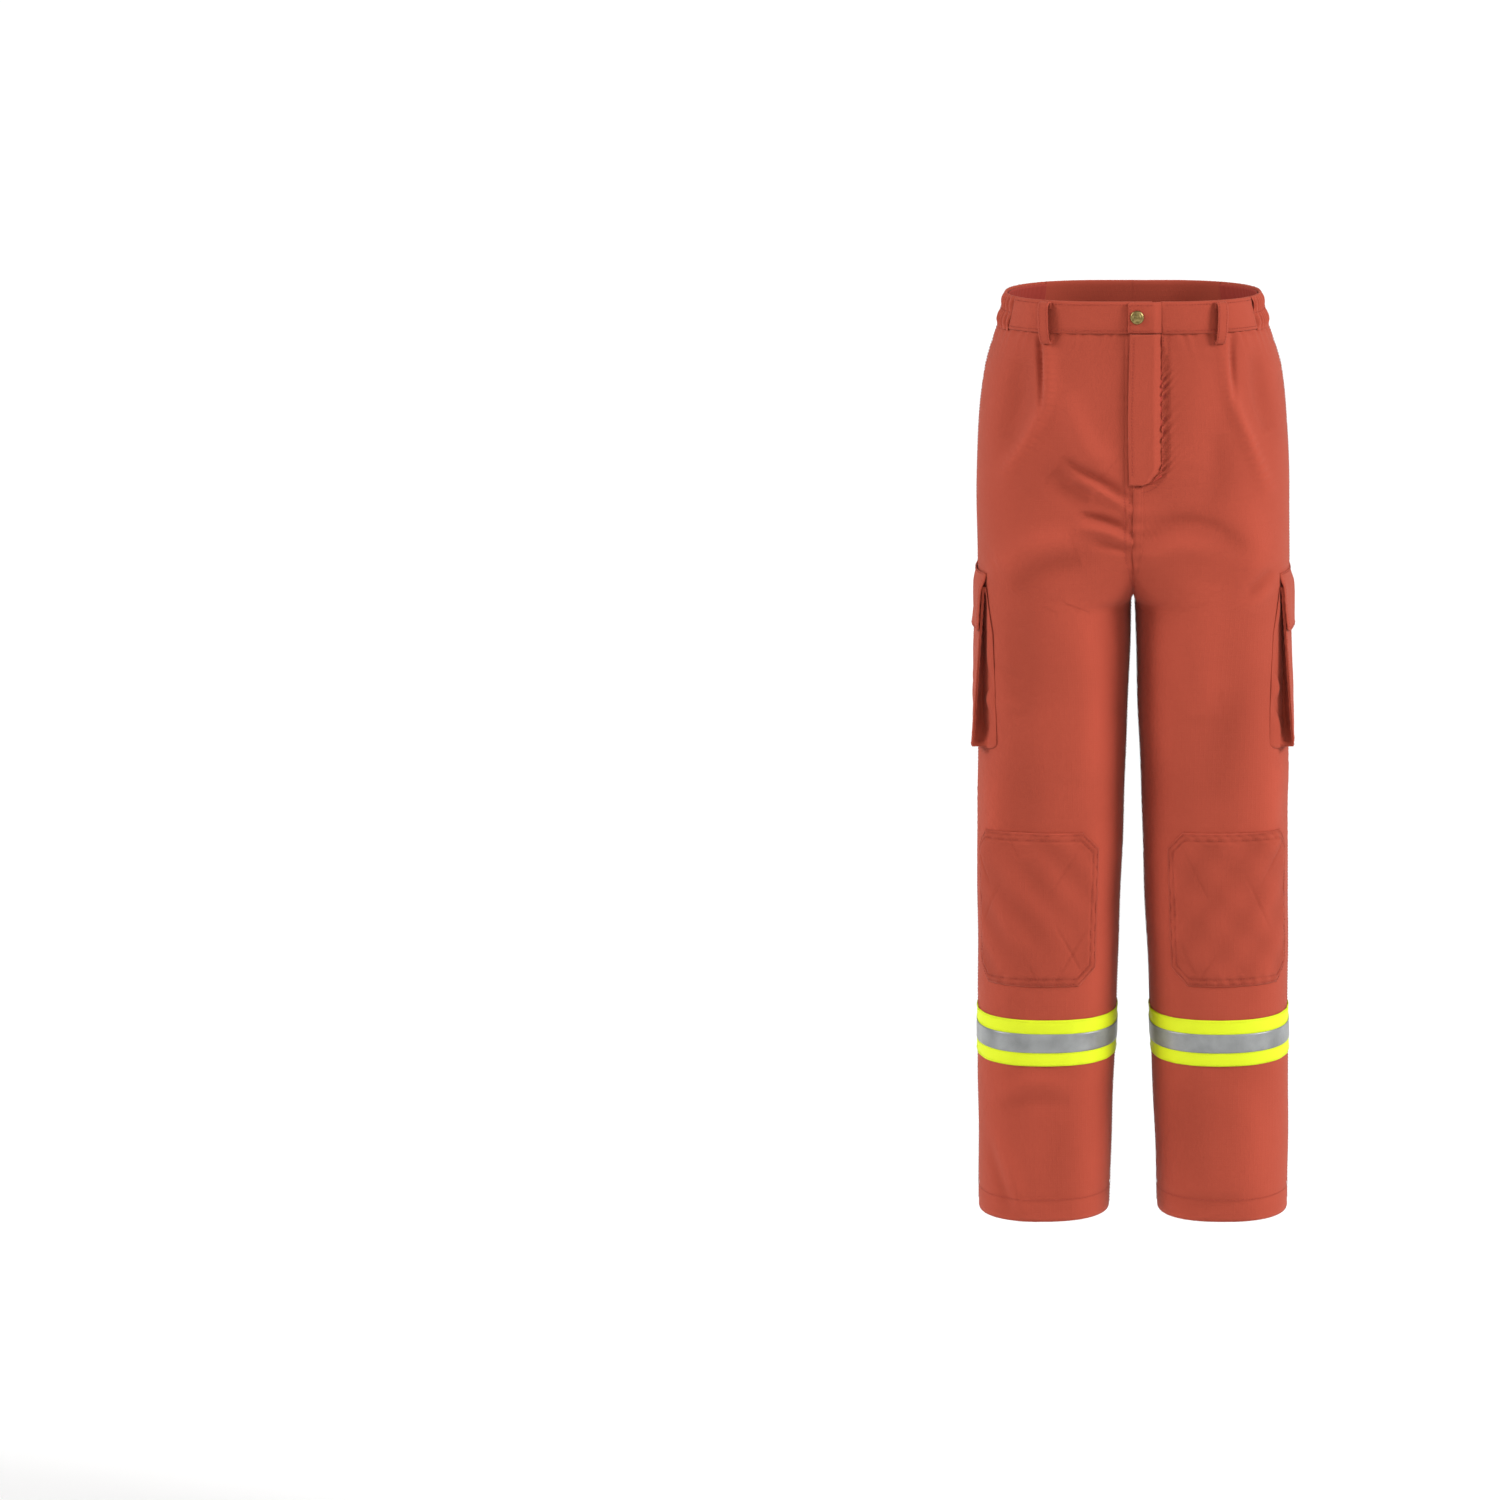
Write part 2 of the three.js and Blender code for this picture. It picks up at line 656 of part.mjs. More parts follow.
// Distance of the flap's inner face from the centre plane: on the leg at its seam, then over the pocket.
function flapInnerX(drop, y) {
  const share = smoothstep(drop, pocketTopDrop, pocketMouth);
  const seam = legSurfaceX(pocketTopDrop, y) + clearance + 0.4;
  const over = pocketFaceX(Math.max(drop, pocketMouth), y) + flapOut;
  return lerp(seam, over, share);
}

function sidePlate(side, drops, columns, innerAt, thickness) {
  return shell(drops.length, columns.length, (r, c, layer) => {
    const inner = innerAt(drops[r], columns[c]);
    return new THREE.Vector3(side * (inner + (layer ? thickness : 0)), columns[c], -drops[r]);
  });
}

for (const [name, side] of sides) {
  const faceInner = (drop, y) => pocketFaceX(drop, y) - clothThickness;
  addPiece(`cargo_face_${name}`, sidePlate(side, faceDrops, pocketColumns, faceInner, clothThickness),
    clothColour);

  const legBlank = shell(panelDrops.length, ringAngles.length, (r, c, layer) => (
    bodyPoint(side, panelDrops[r], ringAngles[c], layer ? 40 : -clearance * 2)), true);
  const wall = clothThickness;
  const outerHalf = pocketHalfWidth;
  const gussetOutline = [
    [-outerHalf, pocketMouth], [-outerHalf, pocketBottom],
    [outerHalf, pocketBottom], [outerHalf, pocketMouth],
    [outerHalf - wall, pocketMouth], [outerHalf - wall, pocketBottom - wall],
    [-outerHalf + wall, pocketBottom - wall], [-outerHalf + wall, pocketMouth],
  ];
  const gussetBlank = prism(gussetOutline, ([y, drop], end) => (
    new THREE.Vector3(side * (end ? hipHalfWidth + 20 : hipHalfWidth - 24), y, -drop)));
  const beyond = sidePlate(side, [pocketMouth - 5, ...faceDrops, pocketBottom + 5],
    evenly(-pocketHalfWidth - 5, pocketHalfWidth + 5, 8), (drop, y) => (
      pocketFaceX(drop, y) - clothThickness - clearance), 60);
  addPiece(`cargo_gusset_${name}`, cut(gussetBlank, legBlank, beyond), liningColour);

  addPiece(`cargo_flap_${name}`, sidePlate(side, flapDrops, flapColumns, flapInnerX, clothThickness),
    clothColour);
  const loopInner = (drop, y) => pocketFaceX(drop, y) + loopOut;
  const hookInner = (drop, y) => pocketFaceX(drop, y) + hookOut;
  addPiece(`cargo_loop_strip_${name}`, sidePlate(side, stripDrops, stripColumns, loopInner, stripThickness),
    0x7a2a20, 0.95);
  addPiece(`cargo_hook_strip_${name}`, sidePlate(side, stripDrops, stripColumns, hookInner, stripThickness),
    0x7a2a20, 0.95);
}

// ---- knees: an octagonal patch over a foam pad ----
function kneeSheet(side, inset, near, far, edgeNear = near) {
  const top = kneePatchTop + inset;
  const bottom = kneePatchTop + kneePatchHeight - inset;
  const drops = [top, top + kneeChamfer, ...evenly(top + kneeChamfer, bottom - kneeChamfer, 3).slice(1, -1),
    bottom - kneeChamfer, bottom];
  const millimetresPerDegree = 1.45;
  const insetAngle = inset / millimetresPerDegree;
  const chamferAngle = kneeChamfer / millimetresPerDegree;
  const full = columnsBetween(-kneeInnerAngle + insetAngle, -kneeOuterAngle - insetAngle);
  const last = full.length - 1;
  return shell(drops.length, full.length, (r, c, layer) => {
    const corner = r === 0 || r === drops.length - 1 ? chamferAngle : 0;
    let angle = full[c];
    if (c === 0) angle += corner;
    if (c === last) angle -= corner;
    const onEdge = c === 0 || c === last || r === 0 || r === drops.length - 1;
    const outer = onEdge ? edgeNear : near;
    return bodyPoint(side, drops[r], angle, layer ? far : outer);
  });
}

const kneeInset = 3;
for (const [name, side] of sides) {
  const kneeGap = kneeGapShare * hipHalfWidth;
  const foamNear = -kneeGap - kneeFoam;
  const patchFar = foamNear - clearance;
  const foam = kneeSheet(side, kneeInset, foamNear, -kneeGap, foamNear / 2);
  addPiece(`knee_pad_${name}`, foam, 0x8a8a86, 0.95);
  addPiece(`knee_patch_${name}`, kneeSheet(side, 0, patchFar - clothThickness, patchFar), clothColour);
}

// ---- fluorescent tape with a retro-reflective strip ----
for (const [name, side] of sides) {
  const tapeDrops = [tapeDrop, tapeDrop + tapeHeight];
  const margin = (tapeHeight - reflectiveHeight) / 2;
  const stripOnTape = [tapeDrop + margin, tapeDrop + tapeHeight - margin];
  const tapeFar = -clearance;
  const tapeNear = tapeFar - tapeThickness;
  const stripFar = tapeNear - clearance;
  addPiece(`hivis_tape_${name}`, wrappedRing(side, tapeDrops, tapeNear, tapeFar), 0xdfe83a, 0.6);
  const strip = wrappedRing(side, stripOnTape, stripFar - 0.5, stripFar);
  addPiece(`reflective_strip_${name}`, strip, 0x9a9c9a, 0.35, 0.3);
}

export default group;
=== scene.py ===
# Firefighting bunker pants, shown worn by nobody. Metres, +Z up, front towards -Y, wearer's left
# towards +X, origin at the middle of the waist opening. Drops are measured down from the waist edge.
from math import pi, radians
import bmesh
import bpy
import numpy as np
from mathutils import Matrix, Vector


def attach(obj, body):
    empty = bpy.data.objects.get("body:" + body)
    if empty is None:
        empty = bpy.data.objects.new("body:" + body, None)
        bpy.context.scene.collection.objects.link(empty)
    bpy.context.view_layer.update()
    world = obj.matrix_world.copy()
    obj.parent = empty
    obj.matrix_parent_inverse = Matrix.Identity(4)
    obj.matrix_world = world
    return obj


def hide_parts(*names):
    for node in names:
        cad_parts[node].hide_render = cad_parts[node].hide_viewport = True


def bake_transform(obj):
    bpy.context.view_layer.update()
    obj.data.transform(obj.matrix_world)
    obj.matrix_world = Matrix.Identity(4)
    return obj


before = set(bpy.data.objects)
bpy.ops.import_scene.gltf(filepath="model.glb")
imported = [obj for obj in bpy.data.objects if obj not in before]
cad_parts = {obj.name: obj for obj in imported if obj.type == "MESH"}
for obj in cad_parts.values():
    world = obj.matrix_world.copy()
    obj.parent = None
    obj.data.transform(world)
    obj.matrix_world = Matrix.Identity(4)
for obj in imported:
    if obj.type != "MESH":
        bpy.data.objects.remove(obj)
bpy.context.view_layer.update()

# ---- camera, light and floor ----
# A long lens a little above the waist, soft daylight from all round, and a broad lamp on each side
# that leaves the middle of each leg darker and draws the folds.
EYE = Vector((0.0, -8.93, 0.878))
AIM = Vector((0.0, 0.0, -0.508))
camera_data = bpy.data.cameras.new("camera")
camera_data.lens = 196.8
camera_data.sensor_width = 36.0
camera_data.shift_x = -0.2553
camera_data.clip_end = 200.0
camera = bpy.data.objects.new("camera", camera_data)
camera.location = EYE
camera.rotation_euler = (AIM - EYE).to_track_quat("-Z", "Y").to_euler()
bpy.context.scene.collection.objects.link(camera)
bpy.context.scene.camera = camera
bpy.context.scene.view_settings.view_transform = "Standard"

sky = bpy.data.worlds.new("soft_daylight")
sky.use_nodes = True
sky.node_tree.nodes["Background"].inputs["Color"].default_value = (1.0, 0.995, 0.985, 1.0)
sky.node_tree.nodes["Background"].inputs["Strength"].default_value = 0.36
bpy.context.scene.world = sky


def lamp(name, kind, energy, place, **settings):
    data = bpy.data.lights.new(name, kind)
    data.energy = energy
    for key, value in settings.items():
        setattr(data, key, value)
    obj = bpy.data.objects.new(name, data)
    obj.location = place
    obj.rotation_euler = (AIM - Vector(place)).to_track_quat("-Z", "Y").to_euler()
    bpy.context.scene.collection.objects.link(obj)


lamp("left_lamp", "SUN", 2.15, (-5.0, -1.4, 2.4), angle=radians(24))
lamp("right_lamp", "SUN", 2.95, (5.0, -1.8, 2.1), angle=radians(24))
lamp("front_panel", "AREA", 8.0, (0.6, -1.9, 0.9), size=1.2)


def object_from(bm, name, material):
    """A linked object with one material, from a finished bmesh."""
    mesh = bpy.data.meshes.new(name)
    bm.to_mesh(mesh)
    bm.free()
    mesh.materials.append(material)
    obj = bpy.data.objects.new(name, mesh)
    bpy.context.scene.collection.objects.link(obj)
    return obj


FLOOR_LEVEL = -1.5
floor_paint = bpy.data.materials.new("floor")
floor_paint.use_nodes = True
paint = floor_paint.node_tree.nodes["Principled BSDF"]
paint.inputs["Base Color"].default_value = (0.97, 0.97, 0.97, 1)
paint.inputs["Roughness"].default_value = 1.0
paint.inputs["Specular IOR Level"].default_value = 0.0
floor_bm = bmesh.new()
bmesh.ops.create_grid(floor_bm, x_segments=1, y_segments=1, size=60)
bmesh.ops.translate(floor_bm, vec=(0, 0, FLOOR_LEVEL), verts=floor_bm.verts)
object_from(floor_bm, "floor", floor_paint)

# ---- the worn shape ----
# Every piece of cloth lies on one worn shape: a section of each leg is two quarter curves about the
# leg's middle line. Above the crotch the inner quarters end on the centre plane.
CROTCH = 0.300
CREASE_END = 0.336
OUTSEAM = 1.016
FLY_DROP = 0.200
BAND = 0.035
FLY_FLAT = 0.036
HIP = 0.171
ROUNDNESS = 0.8
WAIST_ROUNDNESS = 0.9
FRONT_HANG = 0.006


def between(drop, *pairs):
    """A soft curve through (drop, value) pairs."""
    places, values = zip(*pairs)
    reach = 0.022
    return sum(np.interp(drop + k * reach, places, values) for k in (-1, -0.5, 0, 0.5, 1)) / 5


def half_width(drop):
    return between(drop, (0, 0.1375), (BAND, 0.1455), (0.058, 0.157), (0.10, 0.1652), (0.15, 0.1696),
                   (0.20, HIP), (OUTSEAM, HIP))


def front_reach(drop):
    return between(drop, (0, 0.120), (0.27, 0.120), (0.42, 0.106), (0.60, 0.097), (OUTSEAM, 0.080))


def back_reach(drop):
    return between(drop, (0, 0.122), (BAND, 0.1245), (0.08, 0.1345), (0.14, 0.146), (0.20, 0.150),
                   (0.26, 0.149), (0.34, 0.133), (0.42, 0.118), (0.60, 0.101), (OUTSEAM, 0.080))


def inner_edge(drop):
    return np.interp(drop, (0, CROTCH, 0.52, OUTSEAM), (0, 0.0005, 0.008, 0.027))


def leg_middle(drop):
    share = np.clip((drop - FLY_DROP) / (CROTCH - FLY_DROP), 0, 1)
    share = share * share * (3 - 2 * share)
    return FLY_FLAT + (0.5 * (HIP + inner_edge(drop)) - FLY_FLAT) * share


ANGLES = np.linspace(0, pi, 241)


def outline(half, drop):
    """One dense section from the side seam (first point) to the centre or inseam (last point)."""
    reach = front_reach(drop) if half == "front" else back_reach(drop)
    middle, edge, wide = leg_middle(drop), inner_edge(drop), half_width(drop)
    share = np.clip((drop - FLY_DROP) / (CREASE_END - FLY_DROP), 0, 1)
    rise = reach * np.sqrt(1 - share ** (4 if half == "front" else 2))
    halfway = 0.5 * (WAIST_ROUNDNESS + ROUNDNESS)
    power = np.interp(drop, (0, 0.06, 0.16), (WAIST_ROUNDNESS, halfway, ROUNDNESS))
    along = np.abs(np.cos(ANGLES)) ** power
    across = np.sin(ANGLES) ** power
    outside = ANGLES <= pi / 2
    x = np.where(outside, middle + (wide - middle) * along, middle - (middle - edge) * along)
    y = np.where(outside, reach * across, rise + (reach - rise) * across)
    return x, y


def section_length(half, drop):
    """Length of the section, in metres."""
    x, y = outline(half, drop)
    return np.hypot(np.diff(x), np.diff(y)).sum()


# Folds on the front and back, seen from that side: points as (x, drop) in millimetres,
# then half width and height in millimetres. A negative height is a valley.
FOLDS = {
    ("front", -1): [
        (((102, 36), (100, 70), (98, 122)), 3.4, -4.6),
        (((93, 40), (91, 85), (96, 122), (114, 152), (142, 196)), 9, 4.2),
        (((118, 60), (124, 110), (138, 160)), 13, -3.6),
        (((78, 96), (52, 160), (24, 184)), 15, 3.2),
        (((92, 186), (66, 205), (40, 213)), 14, -4.0),
        (((74, 172), (42, 190), (4, 214)), 5, -3.4),
        (((70, 190), (40, 204), (4, 226)), 6, 3.2),
        (((58, 232), (30, 238), (3, 250)), 4.5, -3.6),
        (((60, 246), (30, 250), (3, 262)), 6, 2.6),
        (((44, 262), (18, 268), (2, 276)), 5, -2.0),
        (((152, 292), (112, 268), (64, 258)), 15, 3.0),
        (((130, 322), (98, 292), (52, 280)), 14, -2.6),
        (((74, 318), (56, 400), (52, 480), (60, 540)), 24, 3.4),
        (((128, 330), (118, 400), (124, 470)), 20, -2.6),
        (((150, 400), (134, 412), (120, 414)), 5, -1.2),
        (((150, 446), (136, 440), (122, 448)), 5, 1.2),
        (((156, 520), (154, 580), (158, 640)), 13, 2.2),
        (((124, 480), (118, 560), (122, 620)), 20, -2.2),
        (((40, 560), (36, 680), (44, 790)), 16, 1.8),
        (((150, 800), (110, 812), (60, 800)), 9, -1.2),
        (((150, 872), (110, 856), (70, 862)), 9, 1.6),
        (((148, 892), (108, 880), (66, 884)), 9, -1.4),
        (((160, 930), (146, 975), (134, 1010)), 7, -1.6),
        (((150, 920), (130, 972), (122, 1014)), 10, 1.6),
        (((80, 900), (86, 960), (80, 1016)), 18, -1.6),
    ],
    ("front", 1): [
        (((107, 36), (107, 70), (109, 112)), 4.0, -3.4),
        (((99, 40), (101, 84), (110, 120), (126, 156), (150, 215)), 8, 4.2),
        (((132, 56), (138, 110), (150, 150)), 10, -3.0),
        (((78, 60), (70, 120), (66, 190)), 18, 1.5),
        (((90, 140), (92, 190), (78, 240)), 16, -2.2),
        (((120, 212), (132, 262), (128, 300)), 18, 2.0),
        (((2, 262), (44, 240), (84, 244), (128, 276)), 11, -3.0),
        (((6, 286), (48, 266), (92, 272)), 12, 2.0),
        (((122, 318), (138, 308), (152, 296)), 6, -2.0),
        (((110, 332), (132, 330), (152, 312)), 8, 1.8),
        (((84, 300), (72, 380), (78, 470)), 26, 2.8),
        (((32, 340), (30, 420), (36, 520)), 15, 1.6),
        (((108, 420), (92, 500), (90, 570)), 22, -2.6),
        (((158, 510), (150, 560), (152, 620)), 15, 2.8),
        (((130, 640), (128, 720), (124, 790)), 18, -1.4),
        (((30, 600), (34, 700), (40, 780)), 15, 1.6),
        (((60, 858), (56, 920), (66, 985)), 20, -2.2),
        (((120, 850), (128, 920), (120, 1000)), 20, 2.0),
        (((40, 992), (80, 1000), (116, 994)), 7, -1.0),
    ],
    ("back", -1): [
        (((8, 262), (44, 286), (96, 300)), 8, -3.4),
        (((10, 284), (50, 306), (104, 318)), 9, 3.0),
        (((14, 310), (56, 334), (112, 340)), 9, -2.4),
        (((60, 60), (66, 130), (56, 210)), 20, 1.8),
        (((112, 80), (118, 160), (110, 240)), 18, -1.8),
        (((140, 556), (96, 572), (40, 560)), 8, -3.0),
        (((144, 580), (98, 594), (36, 586)), 9, 3.0),
        (((140, 606), (92, 616), (44, 604)), 8, -2.6),
        (((136, 640), (96, 650), (40, 634)), 11, 2.2),
        (((88, 360), (96, 440), (88, 520)), 22, 2.4),
        (((52, 680), (60, 780), (52, 900)), 22, 2.0),
        (((120, 700), (112, 820), (122, 960)), 20, -2.0),
        (((140, 950), (96, 962), (44, 946)), 9, -1.8),
        (((140, 974), (96, 984), (48, 970)), 9, 1.6),
    ],
    ("back", 1): [
        (((6, 254), (40, 282), (90, 304)), 8, -3.0),
        (((10, 276), (46, 304), (100, 322)), 9, 2.8),
        (((12, 306), (60, 326), (116, 332)), 9, -2.4),
        (((52, 50), (58, 120), (64, 200)), 20, 1.8),
        (((116, 90), (110, 160), (116, 230)), 18, -1.8),
        (((144, 548), (100, 560), (44, 556)), 8, -2.8),
        (((140, 572), (100, 586), (40, 574)), 9, 2.8),
        (((142, 600), (96, 606), (40, 600)), 8, -2.6),
        (((130, 628), (90, 640), (44, 630)), 11, 2.0),
        (((96, 350), (84, 440), (92, 520)), 22, 2.4),
        (((60, 690), (50, 790), (62, 900)), 22, 2.0),
        (((116, 700), (124, 820), (112, 960)), 20, -2.0),
        (((142, 944), (100, 950), (48, 956)), 9, -1.6),
        (((136, 968), (92, 976), (44, 978)), 9, 1.6),
    ],
}
FOLD_SCALE = 1.6


def along_points(x, drop, points):
    """Distance to a smooth run of points, and how far along it from 0 to 1, for every place."""
    px, pz = np.array(points, float).T
    marks = np.linspace(0, 1, len(points))
    fine = np.linspace(0, 1, 25)
    smooth = [np.clip(fine + k, 0, 1) for k in (-0.1, 0, 0.1)]
    fx, fz = (sum(np.interp(marks_here, marks, v) for marks_here in smooth) / 3 for v in (px, pz))
    gap = (x[..., None] - fx) ** 2 + (drop[..., None] - fz) ** 2
    nearest = gap.argmin(-1)
    return np.sqrt(gap.min(-1)), fine[nearest]


def fold_height(half, side, x, drop):
    """How far the folds lift the cloth, in metres, at the places (x, drop) in metres."""
    mx, mz = x * 1000, drop * 1000
    height = np.zeros_like(mx)
    for points, width, tall in FOLDS[half, side]:
        px, pz = np.array(points, float).T
        reach = 3 * width
        near = (mx > px.min() - reach) & (mx < px.max() + reach)
        near = near & (mz > pz.min() - reach) & (mz < pz.max() + reach)
        if near.any():
            gap, along = along_points(mx[near], mz[near], points)
            fade = np.clip(np.sin(pi * np.clip(along, 0.02, 0.98)), 0, 1) ** 0.5
            height[near] += tall * fade * np.exp(-(gap / width) ** 2)
    slow = (0.7 * np.sin(mx / 31 + side * 1.3 + mz / 83) * np.sin(mz / 57 + side)
            + 0.45 * np.sin(mx / 17 - mz / 41 + 2 * side) * np.sin(mz / 29 + 0.7))
    settle = np.clip((mz - 38) / 40, 0, 1)
    return (FOLD_SCALE * height + slow * settle) * 0.001


def worn(side, half, drops, shares, lift=0.0, folds=1.0):
    """Points on the worn cloth. drops is one value a row; shares (rows, columns) run from 0 at the side
    seam to 1 at the centre or inseam. Returns points, outward normals and the length across."""
    rows, columns = shares.shape
    place, run = np.zeros((rows, columns, 3)), np.zeros((rows, columns))
    outward = np.zeros((rows, columns, 3))
    for r, drop in enumerate(drops):
        x, y = outline(half, drop)
        step = np.hypot(np.diff(x), np.diff(y))
        length = np.concatenate(([0], np.cumsum(step)))
        want = shares[r] * length[-1]
        place[r, :, 0] = np.interp(want, length, x)
        place[r, :, 1] = np.interp(want, length, y)
        apart = length + np.arange(len(length)) * 1e-9
        outward[r, :, 0] = np.interp(want, length, np.gradient(y, apart))
        outward[r, :, 1] = np.interp(want, length, -np.gradient(x, apart))
        place[r, :, 2] = -drop
        run[r] = want
    size = np.linalg.norm(outward, axis=2, keepdims=True)
    outward /= np.maximum(size, 1e-9)
    heights = np.broadcast_to(lift, (rows, columns)) + 0.0
    if folds:
        heights = heights + folds * fold_height(half, side, place[..., 0], -place[..., 2])
    place += outward * heights[..., None]
    joined = np.clip((CREASE_END - drops[:, None]) / 0.012, 0, 1)
    ends = np.where(shares[:, -1:] > 0.997, place[:, -1:, 0] + (0.0012 if side < 0 else 0.0), 0.0)
    place[..., 0] -= joined * ends * np.exp(-(run[:, -1:] - run) / 0.008)
    if half == "front":
        hang = np.clip((drops[:, None] - 0.70) / 0.12, 0, 1)
        place[..., 2] -= FRONT_HANG * (hang * np.sin(pi * shares) ** 1.2)
    flip = np.array((side, 1 if half == "back" else -1, 1))
    return place * flip, outward * flip, run


def share_at_angle(half, drop, degrees):
    """Where along the section, from 0 to 1, a direction about the leg's middle line lies."""
    x, y = outline(half, drop)
    length = np.concatenate(([0], np.cumsum(np.hypot(np.diff(x), np.diff(y)))))
    return np.interp(radians(degrees), ANGLES, length / length[-1])


def share_at_x(half, drop, x):
    """Where along the section, from 0 to 1, the front or back has this distance from the centre."""
    ox, oy = outline(half, drop)
    length = np.concatenate(([0], np.cumsum(np.hypot(np.diff(ox), np.diff(oy)))))
    return np.interp(x, ox[::-1], (length / length[-1])[::-1])


# ---- shell cloth ----
# Orange-red aramid ripstop: a plain weave with a raised grid every 5 mm, a dry matt face with a
# little fuzz, slightly paler where folds rub (wear and painted highlight) and darker in their
# valleys (painted shade).
def node(tree, kind, **inputs):
    new = tree.nodes.new(kind)
    for key, value in inputs.items():
        new.inputs[key].default_value = value
    return new


def multiply_add(tree, value, factor, addend):
    total = tree.nodes.new("ShaderNodeMath")
    total.operation = "MULTIPLY_ADD"
    total.inputs[1].default_value = factor
    tree.links.new(value, total.inputs[0])
    tree.links.new(addend, total.inputs[2])
    return total.outputs[0]


def two_tone(tree, value, dark_at, dark, pale_at, pale):
    ramp = tree.nodes.new("ShaderNodeValToRGB")
    ramp.color_ramp.elements[0].position = dark_at
    ramp.color_ramp.elements[0].color = (*dark, 1)
    ramp.color_ramp.elements[1].position = pale_at
    ramp.color_ramp.elements[1].color = (*pale, 1)
    tree.links.new(value, ramp.inputs["Fac"])
    return ramp.outputs["Color"]


def cloth(name, colour, slot_name, grid=True, weave=0.0007, roughness=0.86, sheen=0.06, wear_and_painted_light_strength=0.16):
    material = bpy.data.materials.new(name)
    material.use_nodes = True
    tree = material.node_tree
    shader = tree.nodes["Principled BSDF"]
    shader.inputs["Roughness"].default_value = roughness
    shader.inputs["Specular IOR Level"].default_value = 0.16
    shader.inputs["Sheen Weight"].default_value = sheen
    shader.inputs["Sheen Roughness"].default_value = 0.45
    shader.inputs["Sheen Tint"].default_value = (1.0, 0.62, 0.5, 1)
    uv = tree.nodes.new("ShaderNodeTexCoord")
    thread = 0.314 / weave
    across = node(tree, "ShaderNodeTexWave", Scale=thread, Distortion=0.6, Detail=1.0)
    down = node(tree, "ShaderNodeTexWave", Scale=thread, Distortion=0.6, Detail=1.0)
    down.bands_direction = "Y"
    woven = tree.nodes.new("ShaderNodeMath")
    woven.operation = "MULTIPLY"
    tree.links.new(uv.outputs["UV"], across.inputs["Vector"])
    tree.links.new(uv.outputs["UV"], down.inputs["Vector"])
    tree.links.new(across.outputs["Fac"], woven.inputs[0])
    tree.links.new(down.outputs["Fac"], woven.inputs[1])
    relief = woven.outputs[0]
    if grid:
        for direction in ("X", "Y"):
            line = node(tree, "ShaderNodeTexWave", Scale=0.314 / 0.005)
            line.bands_direction = direction
            tree.links.new(uv.outputs["UV"], line.inputs["Vector"])
            sharp = node(tree, "ShaderNodeMapRange")
            sharp.inputs["From Min"].default_value = 0.9
            tree.links.new(line.outputs["Fac"], sharp.inputs["Value"])
            relief = multiply_add(tree, sharp.outputs["Result"], 0.8, relief)
    bump = node(tree, "ShaderNodeBump", Strength=0.35, Distance=0.00018)
    tree.links.new(relief, bump.inputs["Height"])
    tree.links.new(bump.outputs["Normal"], shader.inputs["Normal"])
    cloud = node(tree, "ShaderNodeTexNoise", Scale=9.0, Detail=4.0)
    tree.links.new(uv.outputs["Object"], cloud.inputs["Vector"])
    fuzz = node(tree, "ShaderNodeTexNoise", Scale=900.0, Detail=2.0)
    tree.links.new(uv.outputs["UV"], fuzz.inputs["Vector"])
    # Per-point tone: painted shade in fold valleys, seam and stitch grooves and the pocket gusset, painted
    # highlights on ridges and the knee patch edge, and rub on the hem.
    wear = tree.nodes.new("ShaderNodeAttribute")
    wear.attribute_name = "wear"
    blend = node(tree, "ShaderNodeMapRange")
    blend.inputs["To Min"].default_value = 0.36
    blend.inputs["To Max"].default_value = 0.64
    tree.links.new(cloud.outputs["Fac"], blend.inputs["Value"])
    tone = multiply_add(tree, wear.outputs["Fac"], wear_and_painted_light_strength, blend.outputs["Result"])
    speckle = multiply_add(tree, fuzz.outputs["Fac"], 0.22, tone)
    dark = [c * 0.82 for c in colour]
    pale = [min(1, c * 1.22 + 0.004) for c in colour]
    tree.links.new(two_tone(tree, speckle, 0.25, dark, 1.0, pale), shader.inputs["Base Color"])
    material["slot"] = slot_name
    return material


SHELL = cloth("shell_cloth", (0.348, 0.0540, 0.0288), "shell_cloth", sheen=0.11, wear_and_painted_light_strength=0.30)
LINING = cloth("lining_cloth", (0.24, 0.030, 0.020), "lining_cloth", grid=False)


def sheet_piece(name, points, run, material, thickness=0.0011, wear=None, closed=False):
    """A sheet from rows and columns of points, thickened inwards, with the weave laid in metres."""
    rows, columns = points.shape[:2]
    bm = bmesh.new()
    bmesh.ops.create_grid(bm, x_segments=columns - 1, y_segments=rows - 1, size=1)
    mesh = bpy.data.meshes.new(name)
    bm.to_mesh(mesh)
    bm.free()
    flat = points.reshape(-1, 3)
    mesh.vertices.foreach_set("co", flat.ravel())
    layer = mesh.uv_layers.new(name="weave")
    corner = np.zeros(len(mesh.loops), dtype=int)
    mesh.loops.foreach_get("vertex_index", corner)
    uv = np.stack((run.ravel(), flat[:, 2]), axis=1)
    layer.data.foreach_set("uv", uv[corner].ravel())
    shade = mesh.attributes.new("wear", "FLOAT", "POINT")
    wear_and_painted_light_values = np.broadcast_to(0.0 if wear is None else wear, (rows, columns))
    shade.data.foreach_set("value", wear_and_painted_light_values.ravel().astype(np.float32))
    mesh.materials.append(material)
    obj = bpy.data.objects.new(name, mesh)
    bpy.context.scene.collection.objects.link(obj)
    bm = bmesh.new()
    bm.from_mesh(mesh)
    if closed:
        bmesh.ops.remove_doubles(bm, verts=bm.verts, dist=1e-6)
    bm.normal_update()
    middle = Vector(flat.mean(axis=0))
    facing = sum((f.normal.dot(f.calc_center_median() - middle)) * f.calc_area() for f in bm.faces)
    if facing < 0:
        bmesh.ops.reverse_faces(bm, faces=bm.faces)
    for face in bm.faces:
        face.smooth = True
    bm.to_mesh(mesh)
    bm.free()
    if thickness:
        wall = obj.modifiers.new("cloth thickness", "SOLIDIFY")
        wall.thickness = thickness
        wall.offset = -1
    return obj


